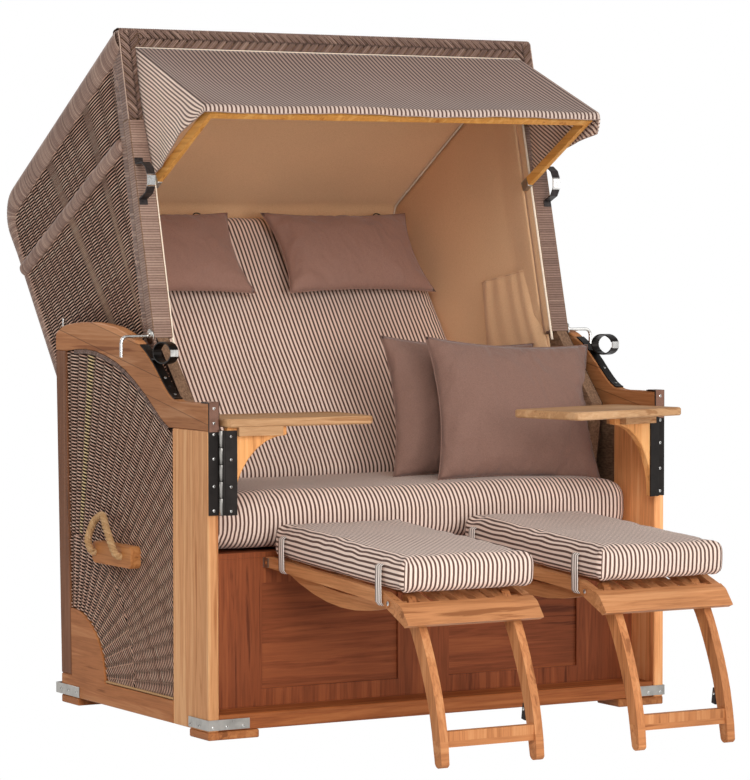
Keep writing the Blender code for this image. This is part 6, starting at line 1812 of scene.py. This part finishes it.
def hinge_fittings(side, sign):
    """Screws on both leaves, the bright upper plate, and the knuckles on the pin."""
    front = (0.0, -1.0, 0.0)
    spots = [((sign * LEAF_X, LEAF_FACE, z), front) for z in LEAF_SCREWS]
    spots += [((sign * LEAF_X, LEAF_FACE - 0.0007, z), front) for z in (0.6915, 0.7235)]
    screws(f"post_leaf_screws_{side}", "base", spots)
    screws(f"table_leaf_screws_{side}", f"table_{side}",
           [((sign * TABLE_LEAF_X, TABLE_LEAF_FACE, z), front) for z in TABLE_SCREWS], 2.9 * MM)
    plate = Build()
    low, high = sorted((sign * 0.5745, sign * 0.5982))
    plate.block((low, LEAF_FACE - 0.0008, 0.6720), (high, LEAF_FACE + 0.0003, 0.7372), soften=0.0004)
    plate.block((low, LEAF_FACE - 0.0008, 0.7365), (high, LEAF_FACE + 0.0330, 0.7378), soften=0.0004)
    # the plate's reddish tint is a painted reflection of the wood
    sharpen(plate.piece(f"upper_plate_{side}", STEEL_PAINTED_WOOD_REFLECTION, "base", "steel"))
    share = (PIN_HIGH - PIN_LOW) / 5
    for name, body, which in (("post", "base", (0, 2, 4)), ("table", f"table_{side}", (1, 3))):
        knuckles = Build()
        for k in which:
            start = PIN_LOW + share * k + 0.0006
            knuckles.disc((sign * PIN_X, PIN_Y, start), (0, 0, 1), 6.0 * MM, share - 0.0012, sides=22,
                          soften=0.02)
        knuckles.piece(f"{name}_knuckles_{side}", DULL_STEEL, body, "steel")


BRACKET_FACE, BRACKET_FRONT = 0.6023, -0.2733


def bracket_fittings(side, sign):
    """Screws on the front corner bracket, and the rear corner's bracket."""
    spots = [((sign * BRACKET_FACE, y + SHIFT, 0.0288), (sign, 0, 0)) for y in (0.0804, 0.0401)]
    spots += [((sign * x, BRACKET_FRONT, 0.0290), (0, -1, 0)) for x in (0.5900, 0.5564, 0.5159)]
    plate = Build()
    rear = 0.5062
    low, high = sorted((sign * 0.6000, sign * 0.6021))
    plate.block((low, 0.3830, 0.0195), (high, rear + 0.0019, 0.0445), soften=0.0005)
    low, high = sorted((sign * 0.5010, sign * 0.6021))
    plate.block((low, rear, 0.0195), (high, rear + 0.0020, 0.0445), soften=0.0005)
    sharpen(plate.piece(f"rear_bracket_{side}", DULL_STEEL, "base", "steel"))
    spots += [((sign * 0.6020, y, 0.0320), (sign, 0, 0)) for y in (0.4790, 0.4400, 0.3970)]
    spots += [((sign * x, rear + 0.0019, 0.0320), (0, 1, 0)) for x in (0.5750, 0.5250)]
    screws(f"bracket_screws_{side}", "base", spots, 3.1 * MM)


def band_fittings(side, sign):
    """Screws and the hole on the arm band, the hole a black disc as painted shade, and the bright tongue of
    its ring.
    """
    spots = [((sign * 0.587, -0.0412, 0.7822), (0, -0.655, 0.755)),
             ((sign * 0.587, -0.0900, 0.7476), (0, -0.44, 0.90))]
    screws(f"band_screws_{side}", "base", spots, 3.2 * MM)
    hole = Build()
    # the hole as a black disc: painted shade
    hole.disc((sign * 0.587, -0.0640, 0.7634), (0, -0.62, 0.785), 3.4 * MM, 0.9 * MM, sides=16)
    hole.piece(f"band_hole_{side}", BLACK_AND_PAINTED_SHADE, "base", "dark_steel")
    tongue = Build()
    low, high = sorted((sign * 0.5775, sign * 0.5965))
    tongue.block((low, -0.0895, 0.8300), (high, -0.0855, 0.8462), soften=0.0008)
    sharpen(tongue.piece(f"ring_tongue_{side}", SCREW, "base", "steel"))


def awning_socket(side, sign):
    """The steel socket that holds an awning arm's lower end."""
    build = Build()
    way = np.array([0.0, AWNING_WAY[0], AWNING_WAY[1]])
    up = np.cross((1.0, 0.0, 0.0), way)
    pivot = np.array([sign * 0.501, AWNING_PIVOT[0], AWNING_PIVOT[1]])
    build.block((-0.0066, -0.0118, -0.010), (0.0060, 0.0118, 0.018),
                frame=(pivot, ((sign, 0, 0), up * sign, way)), soften=0.0012)
    sharpen(build.piece(f"awning_socket_{side}", DULL_STEEL, "awning", "steel"))


for side, sign in SIDES:
    hinge_fittings(side, sign)
    bracket_fittings(side, sign)
    band_fittings(side, sign)
    awning_socket(side, sign)
    dress(HANDLE_STEEL, f"hood_handle_{side}")
# Edgings, straps, clips, pocket and loops
def weave_edging(side, sign):
    """The dark wound edging under the arch and the light cord along the panel's bottom."""
    outline, level = outline_of(f"side_weave_{side}", sign)
    area = 0.5 * np.sum(outline[:, 0] * np.roll(outline[:, 1], -1) - np.roll(outline[:, 0], -1) * outline[:,
                                                                                                          1])
    way = np.roll(outline, -1, 0) - np.roll(outline, 1, 0)
    way /= np.maximum(np.linalg.norm(way, axis=1)[:, None], 1e-9)
    outward = np.stack([way[:, 1], -way[:, 0]], axis=-1) * (1 if area > 0 else -1)
    upper = outline[(outward[:, 1] > 0.25) & (outline[:, 1] > 0.5)]
    upper = upper[np.argsort(upper[:, 0])]
    ends = np.concatenate([[0], np.cumsum(np.linalg.norm(np.diff(upper, axis=0), axis=1))])
    fine = np.linspace(0, ends[-1], 120)
    upper = np.stack([np.interp(fine, ends, upper[:, k]) for k in range(2)], axis=-1)
    across = np.gradient(upper, axis=0)
    across /= np.linalg.norm(across, axis=1)[:, None]
    build = Build()
    path = three_path(level + sign * 0.0005, upper + np.stack([across[:, 1], -across[:, 0]],
                                                              axis=-1) * 0.0050)
    side_ways = np.stack([np.zeros(len(upper)), across[:, 1], -across[:, 0]], axis=-1)
    wound(build, path, side_ways, (sign, 0.0, 0.0), half_round(0.0115, 0.0062, 9), 5.2 * MM, 0.7 * MM,
          slant=0.005, level=0.34)
    build.piece(f"weave_edging_{side}", RIM_WEAVE, "base", "weave")
    low = outline[:, 1].min()
    bottom = outline[outline[:, 1] < low + 0.012]
    depth = np.linspace(bottom[:, 0].min() + 0.004, bottom[:, 0].max() - 0.004, 150)
    cord = Build()
    for k in range(2):
        turn = depth * 2 * math.pi / 0.011 + k * math.pi
        line = np.stack([level + sign * (0.0042 + 0.0013 * np.cos(turn)), depth,
                         low + 0.0042 + 0.0013 * np.sin(turn)],
                        axis=-1)
        cord.round_tube(line, 1.7 * MM, (0.5 + 0.15 * k, 0.0), 6)
    cord.piece(f"bottom_cord_{side}", ROPE, "base", "rope")


def armrest_pin(side, sign):
    """The upright steel pin on the armrest's rear crown."""
    pin = Build()
    pin.disc((sign * 0.587, 0.492, 0.866), (0, 0, 1), 2.3 * MM, 0.038, sides=16, soften=0.02)
    pin.disc((sign * 0.587, 0.492, 0.8725), (0, 0, 1), 4.2 * MM, 0.0016, sides=16)
    sharpen(pin.piece(f"armrest_pin_{side}", SCREW, "base", "steel"))


def lever_rose(side, sign):
    """The round steel plate where the locking lever leaves the rim."""
    rose = Build()
    rose.disc((sign * 0.5605, 0.0855, 0.8765), (sign, 0, 0), 11.0 * MM, 0.003, sides=28, soften=0.12)
    rose.disc((sign * 0.5630, 0.0855, 0.8765), (sign, 0, 0), 5.5 * MM, 0.004, sides=20, soften=0.12)
    sharpen(rose.piece(f"lever_rose_{side}", SCREW, "hood", "steel"))


STRAP_DEPTHS = ((0.004 + SHIFT, 0.437, 0.373), (-0.419 + SHIFT, 0.412, 0.342))
BOLT_DEPTH, BOLT_HEIGHT = -0.456 + SHIFT, 0.332


def footrest_fittings(side):
    """Two striped tapes round each cushion and its frame, bolt heads, and the clip on one leg."""
    low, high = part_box(f"footrest_cushion_{side}")
    frame_low, frame_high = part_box(f"footrest_frame_{side}")
    tapes = Build()
    for depth, upper, lower in STRAP_DEPTHS:
        for edge, inward in ((low[0], 1.0), (high[0], -1.0)):
            wide = min(edge, frame_low[0]) if inward > 0 else max(edge, frame_high[0])
            outer = wide - inward * 0.0016
            path = np.array([(edge + inward * 0.003, depth, upper), (outer, depth, upper - 0.004),
                             (outer - inward * 0.0008, depth, (upper + lower) / 2),
                             (outer, depth, lower - 0.010),
                             (outer + inward * 0.006, depth, lower - 0.017),
                             (outer + inward * 0.030, depth + 0.006, lower - 0.018),
                             (outer + inward * 0.060, depth + 0.012, lower - 0.016)])
            way = np.gradient(path, axis=0)
            way /= np.linalg.norm(way, axis=1)[:, None]
            thick = np.cross(way, (0.0, 1.0, 0.0))
            tapes.tube(path, (0.0, 1.0, 0.0), thick, 0.026, 1.5 * MM, (0.5, 0.0), 8,
                       grow=[1, 1, 1, 1, 1, 0.8, 0.5])
    tapes.piece(f"cushion_straps_{side}", TAPE, f"footrest_{side}", "canvas")
    bolts = [((frame_low[0] - 0.0004, BOLT_DEPTH, BOLT_HEIGHT), (-1, 0, 0)),
             ((frame_high[0] + 0.0004, BOLT_DEPTH, BOLT_HEIGHT), (1, 0, 0))]
    screws(f"footrest_bolts_{side}", f"footrest_{side}", bolts, 5.2 * MM)
    face = -0.1195 if side == "left" else 0.3720
    clip = Build()
    ways = ((1, 0, 0), (0, math.cos(0.16), math.sin(0.16)), (0, -math.sin(0.16), math.cos(0.16)))
    clip.block((-0.0085, -0.008, -0.018), (0.001, 0.008, 0.018), frame=((face, -0.53 + SHIFT, 0.095), ways),
               soften=0.0015)
    clip.block((-0.0085, -0.013, -0.004), (-0.002, -0.004, 0.009), frame=((face, -0.53 + SHIFT, 0.095), ways),
               soften=0.0012)
    sharpen(clip.piece(f"leg_clip_{side}", BLACK_AND_PAINTED_SHADE, f"leg_{side}", "dark_steel"))
    screws(f"leg_clip_screw_{side}", f"leg_{side}", [((face - 0.0084, -0.53 + SHIFT, 0.101), (-1, 0, 0))],
           3.6 * MM)


def pocket():
    """The gathered cloth pocket on the lining's right side."""
    rows, columns = np.linspace(0, 1, 33), np.linspace(0, 1, 57)
    top_a, top_b = shifted(0.672, 0.982), shifted(0.452, 1.016)
    low_a, low_b = shifted(0.640, 0.772), shifted(0.352, 0.786)
    grid = np.empty((len(rows), len(columns), 3))
    level = SHELL_FACE - LINING_GAP - 0.0030
    for i, t in enumerate(rows):
        for j, s in enumerate(columns):
            spot = (top_a + (top_b - top_a) * s) * (1 - t) + (low_a + (low_b - low_a) * s) * t
            spread = math.sin(math.pi * min(0.5, 4 * s, 4 * (1 - s))) * min(1.0, 5 * (1 - t) + 0.06)
            fold = 0.5 + 0.5 * math.cos(2 * math.pi * (5.2 * s + 0.35 * math.sin(5 * s + 1.0) - 0.3 * t))
            depth = 0.002 + 0.010 * math.sin(math.pi * min(1.0,
                                                           t * 0.85 + 0.05)) + 0.0026 * fold * (1.1 - 0.7 * t)
            grid[i, j] = (level - depth * spread, spot[0], spot[1])
    made = sheet_piece("lining_pocket", [(grid, grid.copy())], 1.0 * MM, LINING, "hood")
    band = Build()
    band.round_tube(grid[0] + np.array([-0.0006, 0.0, 0.0006]), 1.5 * MM, (0.5, 0.0), 6)
    hem = band.piece("pocket_band", LINING, "hood", "canvas")


def back_loops():
    """Small dark elastic loops at the back cushion's upper edge."""
    build = Build()
    turn = np.linspace(0, math.pi, 15)
    for x in (-0.380, -0.072, 0.130, 0.449):
        loop = np.stack([x + 0.013 * np.cos(turn), BACK_HIGH - 0.004 + 0.012 * np.sin(turn),
                         np.full(15, BACK_THICK * 0.72)], axis=-1)
        build.round_tube(placed(loop, BACK_ORIGIN, BACK_FRAME), 1.6 * MM, (0.5, 0.0), 7)
    build.piece("back_loops", BLACK_AND_PAINTED_SHADE, "hood", "canvas")


for side, sign in SIDES:
    weave_edging(side, sign)
    armrest_pin(side, sign)
    lever_rose(side, sign)
    footrest_fittings(side)
pocket()
back_loops()
